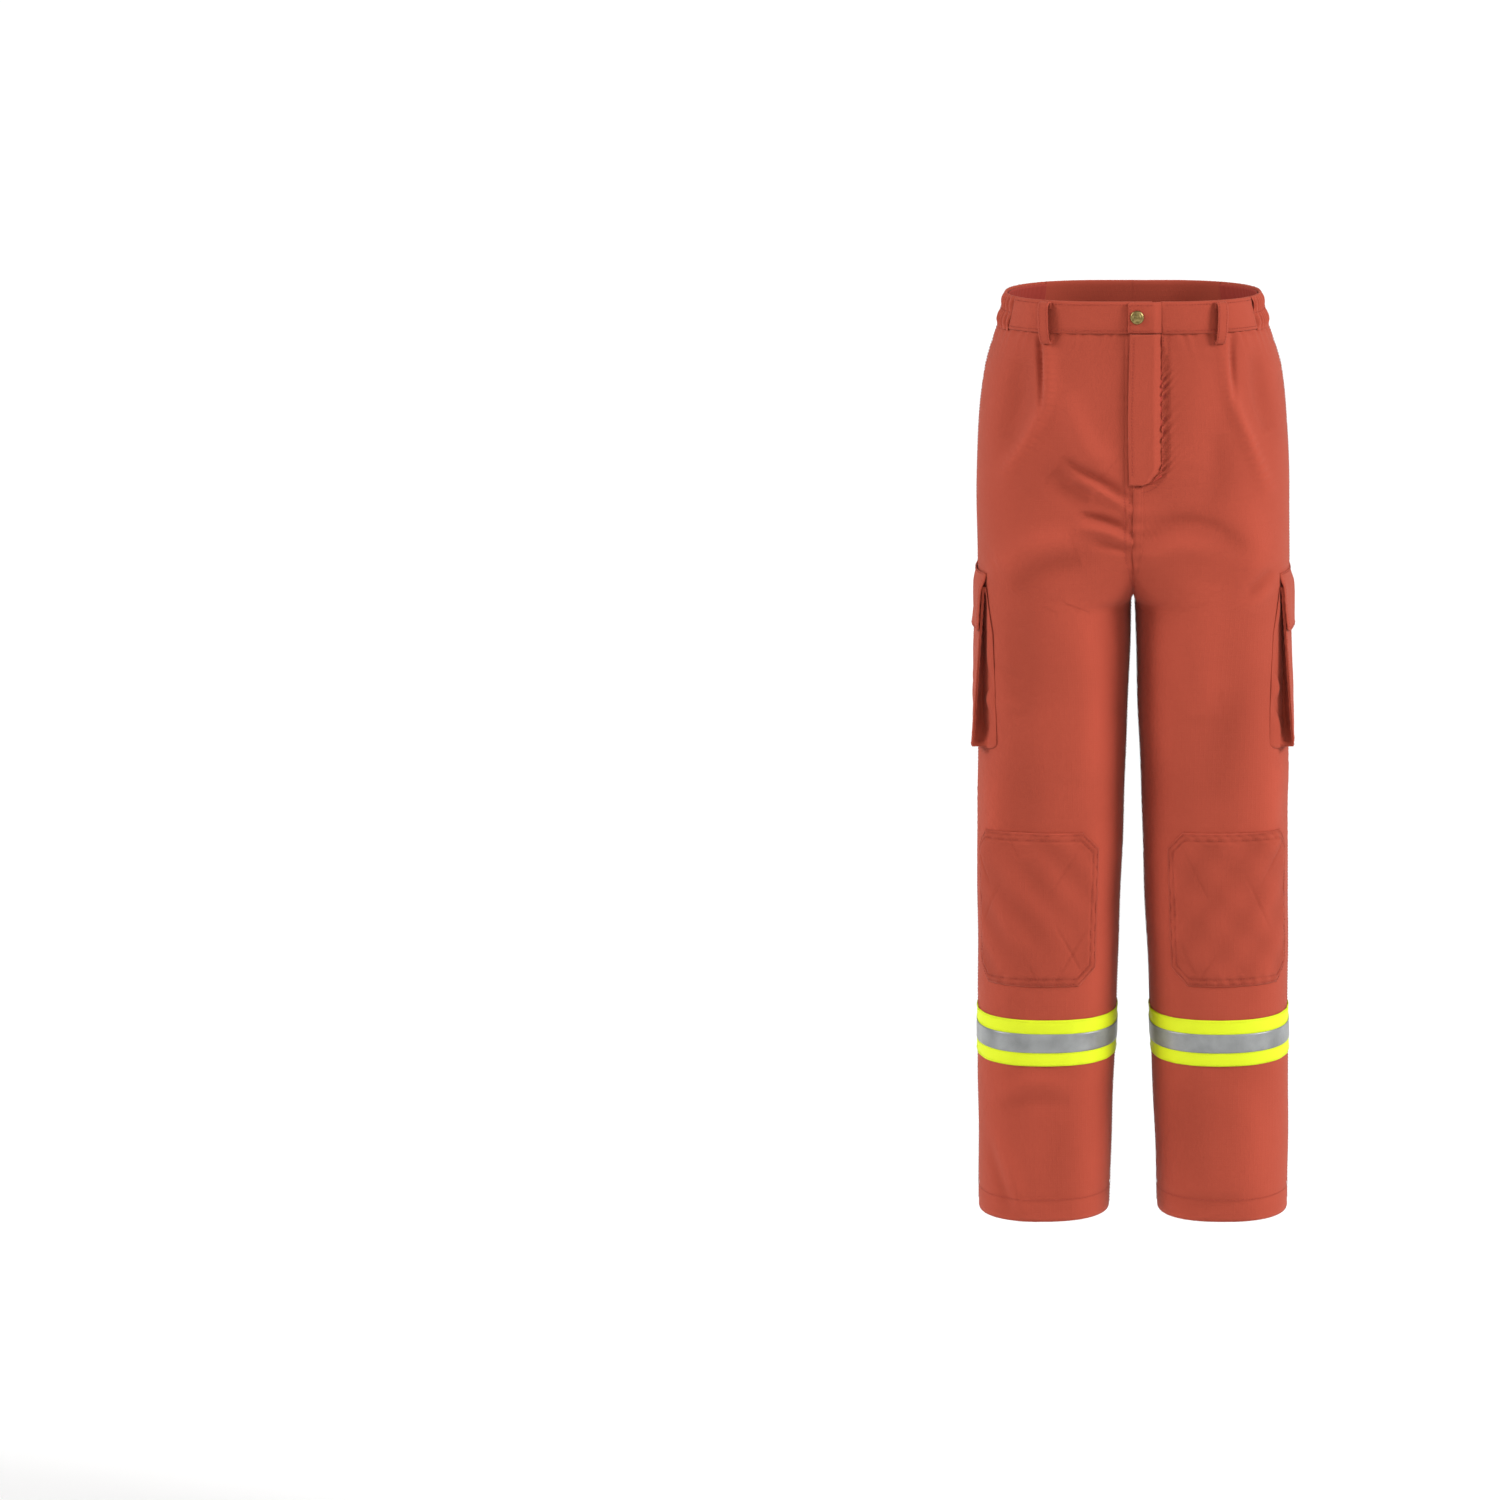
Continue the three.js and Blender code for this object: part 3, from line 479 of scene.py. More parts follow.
def worn_sheet(name, points, run, material, node_name, body, held="hung", **settings):
    """A sheet piece that replaces one CAD node and moves with one body."""
    obj = sheet_piece(name, points, run, material, **settings)
    if body:
        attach(obj, body)
    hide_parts(node_name)
    return obj


# ---- sewing thread ----
# Lockstitch in matching spun thread: short raised stitches set a needle hole apart.
THREAD = cloth("sewing_thread", (0.30, 0.043, 0.028), "shell_cloth", grid=False, weave=0.0003)


def stitches(name, lines, body, pitch=0.0034, length=0.0024, radius=0.00034, material=THREAD, rise=0.0002):
    """One object holding a stitch every pitch along each line of (point, outward) rows."""
    bm = bmesh.new()
    for points, outward in lines:
        points, outward = np.asarray(points), np.asarray(outward)
        far = np.concatenate(([0], np.cumsum(np.linalg.norm(np.diff(points, axis=0), axis=1))))
        for i in range(int(far[-1] / pitch)):
            at = i * pitch
            up = Vector([np.interp(at, far, outward[:, k]) for k in range(3)])
            start = Vector([np.interp(at, far, points[:, k]) for k in range(3)])
            stop = Vector([np.interp(at + length, far, points[:, k]) for k in range(3)])
            along = (stop - start).normalized()
            side = along.cross(up).normalized()
            turn = Matrix((along, side, side.cross(along))).transposed().to_4x4()
            place = Matrix.Translation((start + stop) / 2 + up * rise) @ turn
            shape = Matrix.Diagonal((length / 2, radius, radius, 1))
            bmesh.ops.create_icosphere(bm, subdivisions=1, radius=1.0, matrix=place @ shape)
    for face in bm.faces:
        face.smooth = True
    obj = object_from(bm, name, material)
    obj.data.attributes.new("wear", "FLOAT", "POINT")
    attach(obj, body)
    return obj


def facing(direction, count):
    """The same outward direction for every point of a flat stitch line."""
    return np.tile(np.array(direction, float), (count, 1))


# ---- four leg-length panels ----
# Each leg is one front and one back panel of shell cloth, felled together at the side seam and the
# inseam; left and right meet at the centre seam. The left front is cut back for the fly.
FLY_WIDE = 0.031
FLY_CORNER = 0.026
SEAM_DIP = 0.0011
FELL_ROWS = (0.0030, 0.0088)


def fly_edge(drop):
    """How far from the centre the left front ends: the fly's stitched edge, then its round corner."""
    below = np.clip((drop - (FLY_DROP - FLY_CORNER)) / FLY_CORNER, 0, 1)
    curve = FLY_WIDE - FLY_CORNER + FLY_CORNER * np.sqrt(1 - below * below)
    return np.where(drop < FLY_DROP, curve, 0.0)


def pucker(drop, gap, size, pitch, reach):
    """Fine gathers that a seam pulls into the cloth beside it."""
    wave = np.sin(2 * pi * drop / pitch + 1.7 * np.sin(drop * 71)) * (0.6 + 0.4 * np.sin(drop * 137 + 1))
    return size * wave * np.exp(-gap / reach)


def panel_rows():
    fine = np.linspace(BAND - 0.001, CROTCH + 0.02, 142)
    coarse = np.linspace(CROTCH + 0.02, OUTSEAM, 146)
    return np.concatenate((fine, coarse[1:]))


def panel_shares(half, drop):
    """Columns across a panel, close together near its two seams."""
    length = section_length(half, drop)
    first = np.linspace(0, 0.008, 7)[:-1]
    middle = np.linspace(0.008, length - 0.026, 122)
    last = np.linspace(length - 0.026, length, 31)[1:]
    return np.concatenate((first, middle, last)) / length


DROPS = panel_rows()
for side, name in ((-1, "right"), (1, "left")):
    for half in ("front", "back"):
        shares = np.array([panel_shares(half, drop) for drop in DROPS])
        if (side, half) == (1, "front"):
            last = [share_at_x("front", d, float(fly_edge(d))) if d < FLY_DROP else 1.0 for d in DROPS]
            shares = shares * np.array(last)[:, None]
        _, _, run = worn(side, half, DROPS, shares, folds=0)
        length = run[:, -1:] + 0 * run
        down = np.tile(DROPS[:, None], (1, shares.shape[1]))
        centre_gap = length - run
        at_fly = ((side, half) == (1, "front")) * np.clip((FLY_DROP + 0.004 - down) / 0.004, 0, 1)
        dip = SEAM_DIP * (np.exp(-(run / 0.0016) ** 2) + (1 - at_fly) * np.exp(-(centre_gap / 0.0016) ** 2))
        ripple = (pucker(down, run, 0.00035, 0.011, 0.008)
                  + pucker(down + 0.4, centre_gap, 0.00035, 0.012, 0.008))
        sewn_in = at_fly * np.clip((down - 0.050) / 0.03, 0, 1)
        ripple = ripple + sewn_in * (pucker(down + 1.1 * centre_gap, centre_gap, 0.0021, 0.0112, 0.007)
                                     - 0.0012 * np.exp(-((centre_gap - 0.004) / 0.004) ** 2))
        crotch = np.exp(-((down - 0.245) / 0.05) ** 2)
        ripple = ripple + crotch * pucker(down, centre_gap, 0.0009, 0.017, 0.012)
        gather = np.exp(-(down - BAND) / 0.012) * 0.0007 * np.sin(run / 0.0023 + np.sin(run * 190))
        hem_roll = 0.0006 * np.exp(-((down - OUTSEAM + 0.024) / 0.002) ** 2)
        waist_dip = 0.0012 * np.exp(-((down - BAND) / 0.003) ** 2)
        felled = 0.0008 * np.clip((0.0104 - centre_gap) / 0.0008, 0, 1)
        felled = felled * np.clip((centre_gap - 0.0002) / 0.001, 0, 1)
        felled = felled * (1 - at_fly) * (down < CROTCH + 0.01) * (side == 1)
        rowed = sum(np.exp(-((centre_gap - gap) / 0.0008) ** 2) for gap in FELL_ROWS) * 0.0004
        lift = ripple - dip + gather - waist_dip - hem_roll + felled - rowed * (1 - at_fly)
        points, outward, run = worn(side, half, DROPS, shares, lift)
        height = fold_height(half, side, np.abs(points[..., 0]), down)
        # Tone: paler on fold ridges and pucker crests (rub and painted highlight), darker in fold valleys,
        # pucker troughs, seam dips and stitch grooves (painted shade), paler at the hem edge from rubbing.
        wear = np.clip(height / 0.003, -1, 1) * 0.5 + 0.8 * np.exp(-(down - OUTSEAM) ** 2 / 0.00001)
        wear = wear + np.clip(ripple / 0.0006, -1, 1) * 0.6 - 700 * rowed - 0.5 * dip / SEAM_DIP
        node_name = f"{half}_panel_{name}"
        worn_sheet(f"{node_name}_cloth", points, run, SHELL, node_name, "trousers", wear=wear)


# ---- seams ----
# The centre, side and leg seams are felled: folded flat to one side and sewn down with two rows of
# stitches. The fly's curved double row holds the facing behind the left front.
def seam_line(side, half, drops, gap_from_side=None, gap_from_centre=None, lift=0.0002):
    """A stitch line a set distance from the side seam, or from the centre and leg seam."""
    drops = np.asarray(drops, float)
    shares = np.zeros((len(drops), 1))
    for r, drop in enumerate(drops):
        total = section_length(half, drop)
        gap = gap_from_side[r] if gap_from_side is not None else total - gap_from_centre[r]
        shares[r] = gap / total
    points, outward, _ = worn(side, half, drops, np.minimum(shares, 0.998), lift)
    return points[:, 0], outward[:, 0]


leg_drops = np.linspace(BAND + 0.004, OUTSEAM - 0.002, 260)
below_fly = np.linspace(FLY_DROP + 0.004, OUTSEAM - 0.002, 220)
centre_back = np.linspace(BAND + 0.004, CROTCH, 60)
left_inseam = np.linspace(CROTCH + 0.004, OUTSEAM - 0.002, 200)
rows = []
for gap in FELL_ROWS:
    even = np.full(400, gap)
    rows.append(seam_line(-1, "front", below_fly, gap_from_centre=even))
    rows.append(seam_line(1, "front", left_inseam, gap_from_centre=even))
    rows.append(seam_line(1, "back", centre_back, gap_from_centre=even))
    for side in (-1, 1):
        rows.append(seam_line(side, "back", leg_drops, gap_from_side=even))
stitches("seam_stitches", rows, "trousers")

HEM_ROW = OUTSEAM - 0.0245
rows = []
for side in (-1, 1):
    for half in ("front", "back"):
        shares = np.linspace(0, 1, 60)[None]
        points, outward, _ = worn(side, half, np.array([HEM_ROW]), shares, 0.0002)
        rows.append((points[0], outward[0]))
stitches("hem_stitches", rows, "trousers")

# The fly's curved double row, set just outside the placket's line, then down to the crotch seam.
turn = np.linspace(0, pi / 2, 14)
for number, gap in enumerate((0.0022, 0.0082)):
    edge_drop = np.concatenate((np.linspace(BAND + 0.003, FLY_DROP - FLY_CORNER, 50),
                                FLY_DROP - FLY_CORNER + (FLY_CORNER + gap) * np.sin(turn)))
    edge_x = np.concatenate((np.full(50, FLY_WIDE + gap),
                             FLY_WIDE - FLY_CORNER + (FLY_CORNER + gap) * np.cos(turn)))
    shares = np.array([[share_at_x("front", d, x)] for d, x in zip(edge_drop, edge_x)])
    points, outward, _ = worn(1, "front", edge_drop, shares, 0.0002)
    stitches(f"fly_stitches_{number + 1}", [(points[:, 0], outward[:, 0])], "trousers")


# ---- hem bands ----
# A straight facing of lining cloth inside each leg end, sewn along its top edge.
def leg_ring(side, drops, lift, columns=60, folds=1.0):
    """Rows of points round one whole leg: side seam, front, leg seam, back and home again."""
    drops = np.asarray(drops, float)
    shares = np.tile(np.linspace(0, 1, columns), (len(drops), 1))
    lift = np.broadcast_to(lift, (len(drops), 1)) if np.ndim(lift) else lift
    front, front_out, front_run = worn(side, "front", drops, shares, lift, folds)
    back, back_out, back_run = worn(side, "back", drops, shares, lift, folds)
    points = np.concatenate((front, back[:, ::-1][:, 1:]), axis=1)
    outward = np.concatenate((front_out, back_out[:, ::-1][:, 1:]), axis=1)
    home = front_run[:, -1:] + (back_run[:, -1:] - back_run[:, ::-1])[:, 1:]
    around = np.concatenate((front_run, home), axis=1)
    points[:, columns - 1] = (front[:, -1] + back[:, -1]) / 2
    points[:, -1] = points[:, 0] = (front[:, 0] + back[:, 0]) / 2
    return points, outward, around


HEM_BAND = 0.025
for side, name in ((-1, "right"), (1, "left")):
    drops = np.linspace(OUTSEAM - HEM_BAND, OUTSEAM - 0.0004, 10)
    points, _, run = leg_ring(side, drops, -0.0020)
    worn_sheet(f"hem_band_{name}_cloth", points, run, LINING, f"hem_band_{name}", "trousers", closed=True)


# ---- waistband ----
# A folded band of shell cloth with rolled edges. The back is stiffened, the right front runs on
# behind the fly as an underlap, and lining faces the inside.
BAND_PATH = ((0.0356, -0.0004), (0.0340, 0.0009), (0.0290, 0.0012), (0.0180, 0.0014), (0.0060, 0.0012),
             (0.0015, 0.0010), (0.0002, 0.0001), (0.0001, -0.0008), (0.0015, -0.0018), (0.0060, -0.0022),
             (0.0180, -0.0021), (0.0300, -0.0020), (0.0350, -0.0017))
CASING_FRONT = 29
CASING_BACK = 56
UNDERLAP = 0.021


def band_piece(side, half, first, last, columns=80):
    """The band's folded section carried between two shares of one half's front or back."""
    drops = np.array([drop for drop, _ in BAND_PATH])
    shares = np.tile(np.linspace(first, last, columns), (len(drops), 1))
    _, _, run = worn(side, half, drops, shares, folds=0)
    lift = np.array([out for _, out in BAND_PATH])[:, None]
    soft = 0.0004 * np.sin(run * 61 + side) * np.sin(run * 23 + 1)
    points, _, run = worn(side, half, drops, shares, lift + soft, folds=0)
    return points, run


front_end = share_at_angle("front", 0.018, CASING_FRONT)
back_end = share_at_angle("back", 0.018, CASING_BACK)
right, right_run = band_piece(-1, "front", front_end + 0.002, 1.0)
lap, lap_run = band_piece(1, "front", share_at_x("front", 0.018, UNDERLAP), 0.999, columns=16)
lap[..., 1] += 0.0006
points = np.concatenate((right, lap[:, ::-1]), axis=1)
run = np.concatenate((right_run, right_run[:, -1:] + (lap_run[:, -1:] - lap_run[:, ::-1])), axis=1)
worn_sheet("waistband_front_right_cloth", points, run, SHELL, "waistband_front_right", "trousers",
           thickness=0.0007)
points, run = band_piece(1, "front", front_end + 0.002, share_at_x("front", 0.018, 0.0308))
worn_sheet("waistband_front_left_cloth", points, run, SHELL, "waistband_front_left", "trousers",
           thickness=0.0007)
left, left_run = band_piece(1, "back", back_end + 0.002, 1.0)
right, right_run = band_piece(-1, "back", back_end + 0.002, 1.0)
points = np.concatenate((left, right[:, ::-1][:, 1:]), axis=1)
run = np.concatenate((left_run, left_run[:, -1:] + (right_run[:, -1:] - right_run[:, ::-1])[:, 1:]), axis=1)
worn_sheet("waistband_back_cloth", points, run, SHELL, "waistband_back", "trousers", thickness=0.0007)

rows = []
for side in (-1, 1):
    for drop in (0.0036, 0.0318):
        for half, first in (("front", front_end), ("back", back_end)):
            last = share_at_x("front", drop, 0.033) if (side, half) == (1, "front") else 0.999
            shares = np.linspace(first + 0.01, last, 50)[None]
            points, outward, _ = worn(side, half, np.array([drop]), shares, 0.0013, folds=0)
            rows.append((points[0], outward[0]))
stitches("waistband_stitches", rows, "trousers")

# ---- elastic casings ----
# At each side the band is a loose tube gathered by a flat elastic, which is caught by one row of
# stitches at mid height, so the gathers pinch there and bulge below.
GATHER = 0.0095
ELASTIC = cloth("elastic_webbing", (0.30, 0.036, 0.024), "elastic", grid=False, weave=0.0012, wear_and_painted_light_strength=0.0)
PINCH = 0.0175


def casing_ring(side, drops, lift_at):
    """Rows round one side of the waist, from the casing's front end to its back end."""
    pieces = []
    for half, shares in (("front", np.linspace(front_end, 0, 70)), ("back", np.linspace(0, back_end, 110))):
        grid = np.tile(shares, (len(drops), 1))
        _, _, run = worn(side, half, drops, grid, folds=0)
        run = run if half == "back" else -run
        points, _, _ = worn(side, half, drops, grid, lift_at(run), folds=0)
        pieces.append((points, run))
    (front, front_run), (back, back_run) = pieces
    return np.concatenate((front, back[:, 1:]), axis=1), np.concatenate((front_run, back_run[:, 1:]), axis=1)


path = np.array(BAND_PATH)
path = np.concatenate((path[:1] + (0.0012, 0.0006), path[1:]))
fine = np.linspace(0, len(path) - 1, 41)
tube_drops = np.interp(fine, np.arange(len(path)), path[:, 0])
base = np.interp(fine, np.arange(len(path)), path[:, 1])
pinch = 1 - 0.85 * np.exp(-((tube_drops - PINCH) / 0.0035) ** 2)
swell = (np.exp(-((tube_drops - 0.026) / 0.006) ** 2) * 0.0014
         + np.exp(-((tube_drops - 0.009) / 0.005) ** 2) * 0.0008)
edge = np.clip(np.minimum(tube_drops - 0.0005, 0.0362 - tube_drops) / 0.006, 0.25, 1)
outer = (fine < 6.5)[:, None]
for side, name in ((-1, "right"), (1, "left")):

    def gathered(run):
        phase = 1.3 * np.sin(run * 160 + side)
        wave = np.sin(2 * pi * run / GATHER + phase + 5.0 * tube_drops[:, None] / 0.035)
        crease = 1 - abs(wave) ** 0.7 * (wave < 0)
        puff = (pinch * edge)[:, None] * (0.0038 * crease - 0.0022 + 0.0005 * wave)
        puff = puff + 0.6 * (swell * edge)[:, None]
        return base[:, None] + np.where(outer, puff, 0.25 * puff)

    points, run = casing_ring(side, tube_drops, gathered)
    worn_sheet(f"side_casing_{name}_cloth", points, run, SHELL, f"side_casing_{name}", "trousers",
               held="gathered", thickness=0.0007)
    rows = []
    for half, shares in (("front", np.linspace(front_end, 0, 70)), ("back", np.linspace(0, back_end, 110))):
        points, outward, _ = worn(side, half, np.array([PINCH]), shares[None], 0.0024, folds=0)
        rows.append((points[0], outward[0]))
    stitches(f"casing_stitches_{name}", rows, "trousers")
    webbing_drops = np.linspace(0.0026, 0.0324, 12)
    points, run = casing_ring(side, webbing_drops, lambda run: -0.0030 + 0.0002 * np.sin(run / 0.0012))
    worn_sheet(f"waist_elastic_{name}_webbing", points, run, ELASTIC, f"waist_elastic_{name}", "trousers",
               held="stretched", thickness=0.0012)

# ---- belt loops ----
# Straps of doubled shell cloth, tacked over the band's top edge and below its bottom edge, standing
# off far enough to pass a wide belt. Each end is held by a dense bar of stitches.
LOOP_WIDTH = 0.0098
LOOP_PATH = np.array(((0.0100, 0.0012), (0.0040, 0.0013), (0.0012, 0.0030), (0.0014, 0.0062),
                      (0.0052, 0.0096), (0.0150, 0.0106), (0.0300, 0.0104), (0.0390, 0.0092),
                      (0.0445, 0.0068), (0.0472, 0.0040), (0.0462, 0.0018), (0.0430, 0.0010)))
LOOP_ROW = 0.0016
for node_name, side, half, x in (
        ("belt_loop_front_right", -1, "front", 0.0925), ("belt_loop_front_left", 1, "front", 0.0925),
        ("belt_loop_back_right", -1, "back", 0.070), ("belt_loop_back_left", 1, "back", 0.070),
        ("belt_loop_back_centre", 1, "back", 0.0)):
    last = len(LOOP_PATH) - 1
    marks = np.linspace(0, last, 56)
    near = [np.clip(marks + k, 0, last) for k in (-0.4, -0.2, 0, 0.2, 0.4)]
    smooth = [sum(np.interp(at, np.arange(last + 1), LOOP_PATH[:, i]) for at in near) / 5 for i in (0, 1)]
    places = x + np.linspace(-LOOP_WIDTH / 2, LOOP_WIDTH / 2, 14)
    points = np.zeros((len(marks), len(places), 3))
    for c, place in enumerate(places):
        here = side if place >= 0 else -side
        shares = np.array([[min(share_at_x(half, d, abs(place)), 1.0)] for d in smooth[0]])
        edge_roll = 0.0005 * (abs(place - x) / (LOOP_WIDTH / 2)) ** 6
        column, _, _ = worn(here, half, smooth[0], shares, smooth[1][:, None] - edge_roll, folds=0)
        points[:, c] = column[:, 0]
        points[:, c, 0] = here * abs(place) if abs(x) < 0.01 else points[:, c, 0]
    run = np.tile(places, (len(marks), 1))
    worn_sheet(f"{node_name}_strap", points, run, SHELL, node_name, "trousers", held="folded",
               thickness=0.0015)
    rows = []
    for inset in (LOOP_ROW, LOOP_WIDTH - LOOP_ROW):
        column = int(round(inset / LOOP_WIDTH * (len(places) - 1)))
        inner = points[8:46, column]
        rows.append((inner, facing((0, 1 if half == "back" else -1, 0), len(inner))))
    stitches(f"{node_name}_stitches", rows, "trousers", pitch=0.0030)


# ---- fly ----
# The left front folds over the zip as a flat placket, free along its edge near the centre and held
# by the curved stitch row. Behind it lie the facing, the zip and a long shield on the right side.
FLY_FREE = -0.0046
PLACKET_STAND = 0.0052
FRONT_FACE = -0.1200


def placket_face(x, drop, edge, stand):
    """Front surface of the fly: proud of the band or panel, easing down to it at its stitched edge."""
    height = fold_height("front", 1, np.maximum(x, 0), drop) * np.clip((x - 0.012) / 0.018, 0, 1)
    ease = np.clip((edge - x) / 0.0095 + np.clip((0.0175 - x) / 0.003, 0, 1), 0, 1)
    ease = ease * ease * (3 - 2 * ease)
    return -np.array([float(front_reach(d)) for d in drop[:, 0]])[:, None] - height - stand * ease


drops = np.linspace(BAND + 0.0004, FLY_DROP - 0.0004, 96)[:, None]
edge = fly_edge(drops) - 0.0001
x = FLY_FREE + np.linspace(0, 1, 30)[None] ** 0.9 * (edge + 0.0012 - FLY_FREE)
down = np.broadcast_to(drops, x.shape)
y = placket_face(x, down, edge, PLACKET_STAND)
# The zip's pull runs under the round lower end, so the stitched edge stays proud of it there.
clear_of_pull = np.clip((x - 0.0165) / 0.004, 0, 1)
y = y + 0.0006 * np.exp(-((x - FLY_FREE) / 0.0012) ** 2)
y = y + 0.0013 * np.exp(-((edge - x) / 0.0016) ** 2) * clear_of_pull
y = y - 0.0004 * np.sin(down * 63 + 1) * np.exp(-((x - FLY_FREE) / 0.012) ** 2) * np.sin(down * 25)
puckers = np.sin(2 * pi * (down * 0.8 + x * 0.9) / 0.012)
y = y + 0.00035 * puckers * np.exp(-(edge - x) / 0.006) * clear_of_pull
lean = 0.0009 * np.sin(down * 31 + 0.6) * np.clip((edge - x) / 0.03, 0, 1)
points = np.stack((x + lean, y, -down), axis=-1)
placket = worn_sheet("fly_placket_cloth", points, x, SHELL, "fly_placket", None, thickness=0.0014)
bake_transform(placket)

edge_line = np.stack((points[:, 2, 0] + 0.0012, points[:, 3, 1], -drops[:, 0]), -1)[3:-4]
stitches("placket_stitches", [(edge_line, facing((0, -1, 0), len(edge_line)))], "fly_flap")

TAB_STAND = 0.0036
path = np.array(BAND_PATH)
x = np.linspace(FLY_FREE - 0.0008, FLY_WIDE - 0.0002, 34)[None]
out = path[:, 1:2]
drops = path[:, 0:1] * 0.985
corner = np.clip((FLY_FREE + 0.0026 - x) / 0.0034, 0, 1) ** 2 * 0.0022
down = np.clip(drops, 0.0006 + corner, 0.0352 - corner)
ease = np.clip((FLY_WIDE - x) / 0.0095, 0, 1)
ease = ease * ease * (3 - 2 * ease)
y = FRONT_FACE - out - ease * TAB_STAND + 0.0003 * np.sin(x * 190) * np.sin(down * 120)
points = np.stack((np.broadcast_to(x, y.shape), y, -down), axis=-1)
tab = worn_sheet("waistband_tab_cloth", points, np.broadcast_to(x, y.shape), SHELL, "waistband_tab", None,
                 held="folded", thickness=0.0007)
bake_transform(tab)
face = FRONT_FACE - 0.0012 - TAB_STAND
box_x = np.array((0.021, -0.0024, -0.0034, -0.0034, -0.0024, 0.021))
box_z = -np.array((0.0036, 0.0036, 0.0048, 0.0306, 0.0318, 0.0318))
line = np.stack((box_x, np.full(6, face), box_z), -1)
stitches("tab_stitches", [(line, facing((0, -1, 0), 6))], "fly_flap", rise=0.0003)

drops = np.linspace(BAND + 0.0008, FLY_DROP - 0.0006, 40)[:, None]
edge = fly_edge(drops) + 0.0070
x = 0.0180 + np.linspace(0, 1, 12)[None] * (np.maximum(edge, 0.0185) - 0.0180)
points = np.stack((x, np.full_like(x, -0.1171) + 0 * drops, -np.broadcast_to(drops, x.shape)), axis=-1)
worn_sheet("fly_facing_cloth", points, x, LINING, "fly_facing", "trousers", thickness=0.0009)
drops = np.linspace(BAND + 0.0006, 0.2096, 50)[:, None]
round_off = np.clip((drops - 0.192) / 0.018, 0, 1) ** 2 * 0.016
x = -0.0198 + np.linspace(0, 1, 22)[None] * (0.0448 - round_off)
y = -0.1149 + 0.0004 * np.sin(drops * 70) * np.sin(x * 120)
points = np.stack((x, y, -np.broadcast_to(drops, x.shape)), axis=-1)
worn_sheet("fly_shield_cloth", points, x, LINING, "fly_shield", "trousers", thickness=0.0013)

# ---- zip ----
# A brass coil of separate teeth on two woven tapes, with a slider, a plain pull and a bottom stop.
ZIP_CENTRE = 0.011
TOOTH_PITCH = 0.003
ZIP_TOP = 0.0540
ZIP_END = 0.1930
TAPE_CLOTH = cloth("zip_tape", (0.42, 0.050, 0.034), "zip_tape", grid=False, weave=0.0005, wear_and_painted_light_strength=0.0)
BRASS = bpy.data.materials.new("antique_brass")
BRASS.use_nodes = True
tree = BRASS.node_tree
shader = tree.nodes["Principled BSDF"]
shader.inputs["Metallic"].default_value = 1.0
tarnish = node(tree, "ShaderNodeTexNoise", Scale=420.0, Detail=3.0)
place = tree.nodes.new("ShaderNodeTexCoord")
rough = node(tree, "ShaderNodeMapRange")
rough.inputs["To Min"].default_value = 0.30
rough.inputs["To Max"].default_value = 0.52
tree.links.new(place.outputs["Object"], tarnish.inputs["Vector"])
tree.links.new(tarnish.outputs["Fac"], rough.inputs["Value"])
tone = two_tone(tree, tarnish.outputs["Fac"], 0.35, (0.17, 0.125, 0.045), 0.7, (0.37, 0.285, 0.115))
tree.links.new(tone, shader.inputs["Base Color"])
tree.links.new(rough.outputs["Result"], shader.inputs["Roughness"])
for piece in ("zip_slider", "zip_pull", "zip_bottom_stop", "snap_socket", "snap_stud", "snap_washer"):
    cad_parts[piece].data.materials.clear()
    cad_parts[piece].data.materials.append(BRASS)
for hand, name, inner, outer in ((-1, "right", -0.0016, -0.0200), (1, "left", 0.0016, 0.0200)):
    drops = np.linspace(0.0372, 0.1978, 60)[:, None]
    x = ZIP_CENTRE + np.linspace(inner, outer, 10)[None] + 0 * drops
    points = np.stack((x, np.full_like(x, -0.1182), -np.broadcast_to(drops, x.shape)), axis=-1)
    worn_sheet(f"zip_tape_{name}_cloth", points, x, TAPE_CLOTH, f"zip_tape_{name}", "trousers",
               held="stretched", thickness=0.0008)
    bm = bmesh.new()
    for i in range(int((ZIP_END - ZIP_TOP) / TOOTH_PITCH)):
        z = -ZIP_TOP - TOOTH_PITCH * (i + (0.25 if hand > 0 else 0.75))
        where = Matrix.Translation((ZIP_CENTRE + hand * 0.0029, -0.1178, z))
        bmesh.ops.create_cube(bm, size=1.0, matrix=where @ Matrix.Diagonal((0.0028, 0.0020, 0.0014, 1)))
    bmesh.ops.bevel(bm, geom=list(bm.edges), offset=0.0002, segments=1, profile=0.5, affect="EDGES",
                    material=-1)
    teeth = object_from(bm, f"zip_teeth_{name}", BRASS)
    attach(teeth, "trousers")

# ---- snap ----
# A ring snap: a domed brass cap with a rolled rim on the tab, over a socket, stud and washer.
CAP_RADIUS = 0.0075
CAP_AT = Vector((0.0045, -0.1256, -0.017))
cap_profile = ((0.0, 0.00255), (0.20, 0.00252), (0.42, 0.00235), (0.55, 0.00205), (0.60, 0.00178),
                  (0.66, 0.00172), (0.72, 0.00188), (0.82, 0.00178), (0.93, 0.00120), (1.0, 0.00045),
                  (0.985, 0.0), (0.5, 0.0), (0.0, 0.0))
bm = bmesh.new()
ring = [bm.verts.new((share * CAP_RADIUS, -out, 0)) for share, out in cap_profile]
edges = [bm.edges.new(pair) for pair in zip(ring, ring[1:])]
bmesh.ops.spin(bm, geom=ring + edges, cent=(0, 0, 0), axis=(0, 1, 0), angle=2 * pi, steps=64, use_merge=True)
bmesh.ops.remove_doubles(bm, verts=bm.verts, dist=1e-6)
bmesh.ops.recalc_face_normals(bm, faces=bm.faces)
bmesh.ops.translate(bm, vec=CAP_AT, verts=bm.verts)
for face in bm.faces:
    face.smooth = True
cap = object_from(bm, "snap_cap_dome", BRASS)
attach(cap, "fly_flap")
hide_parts("snap_cap")

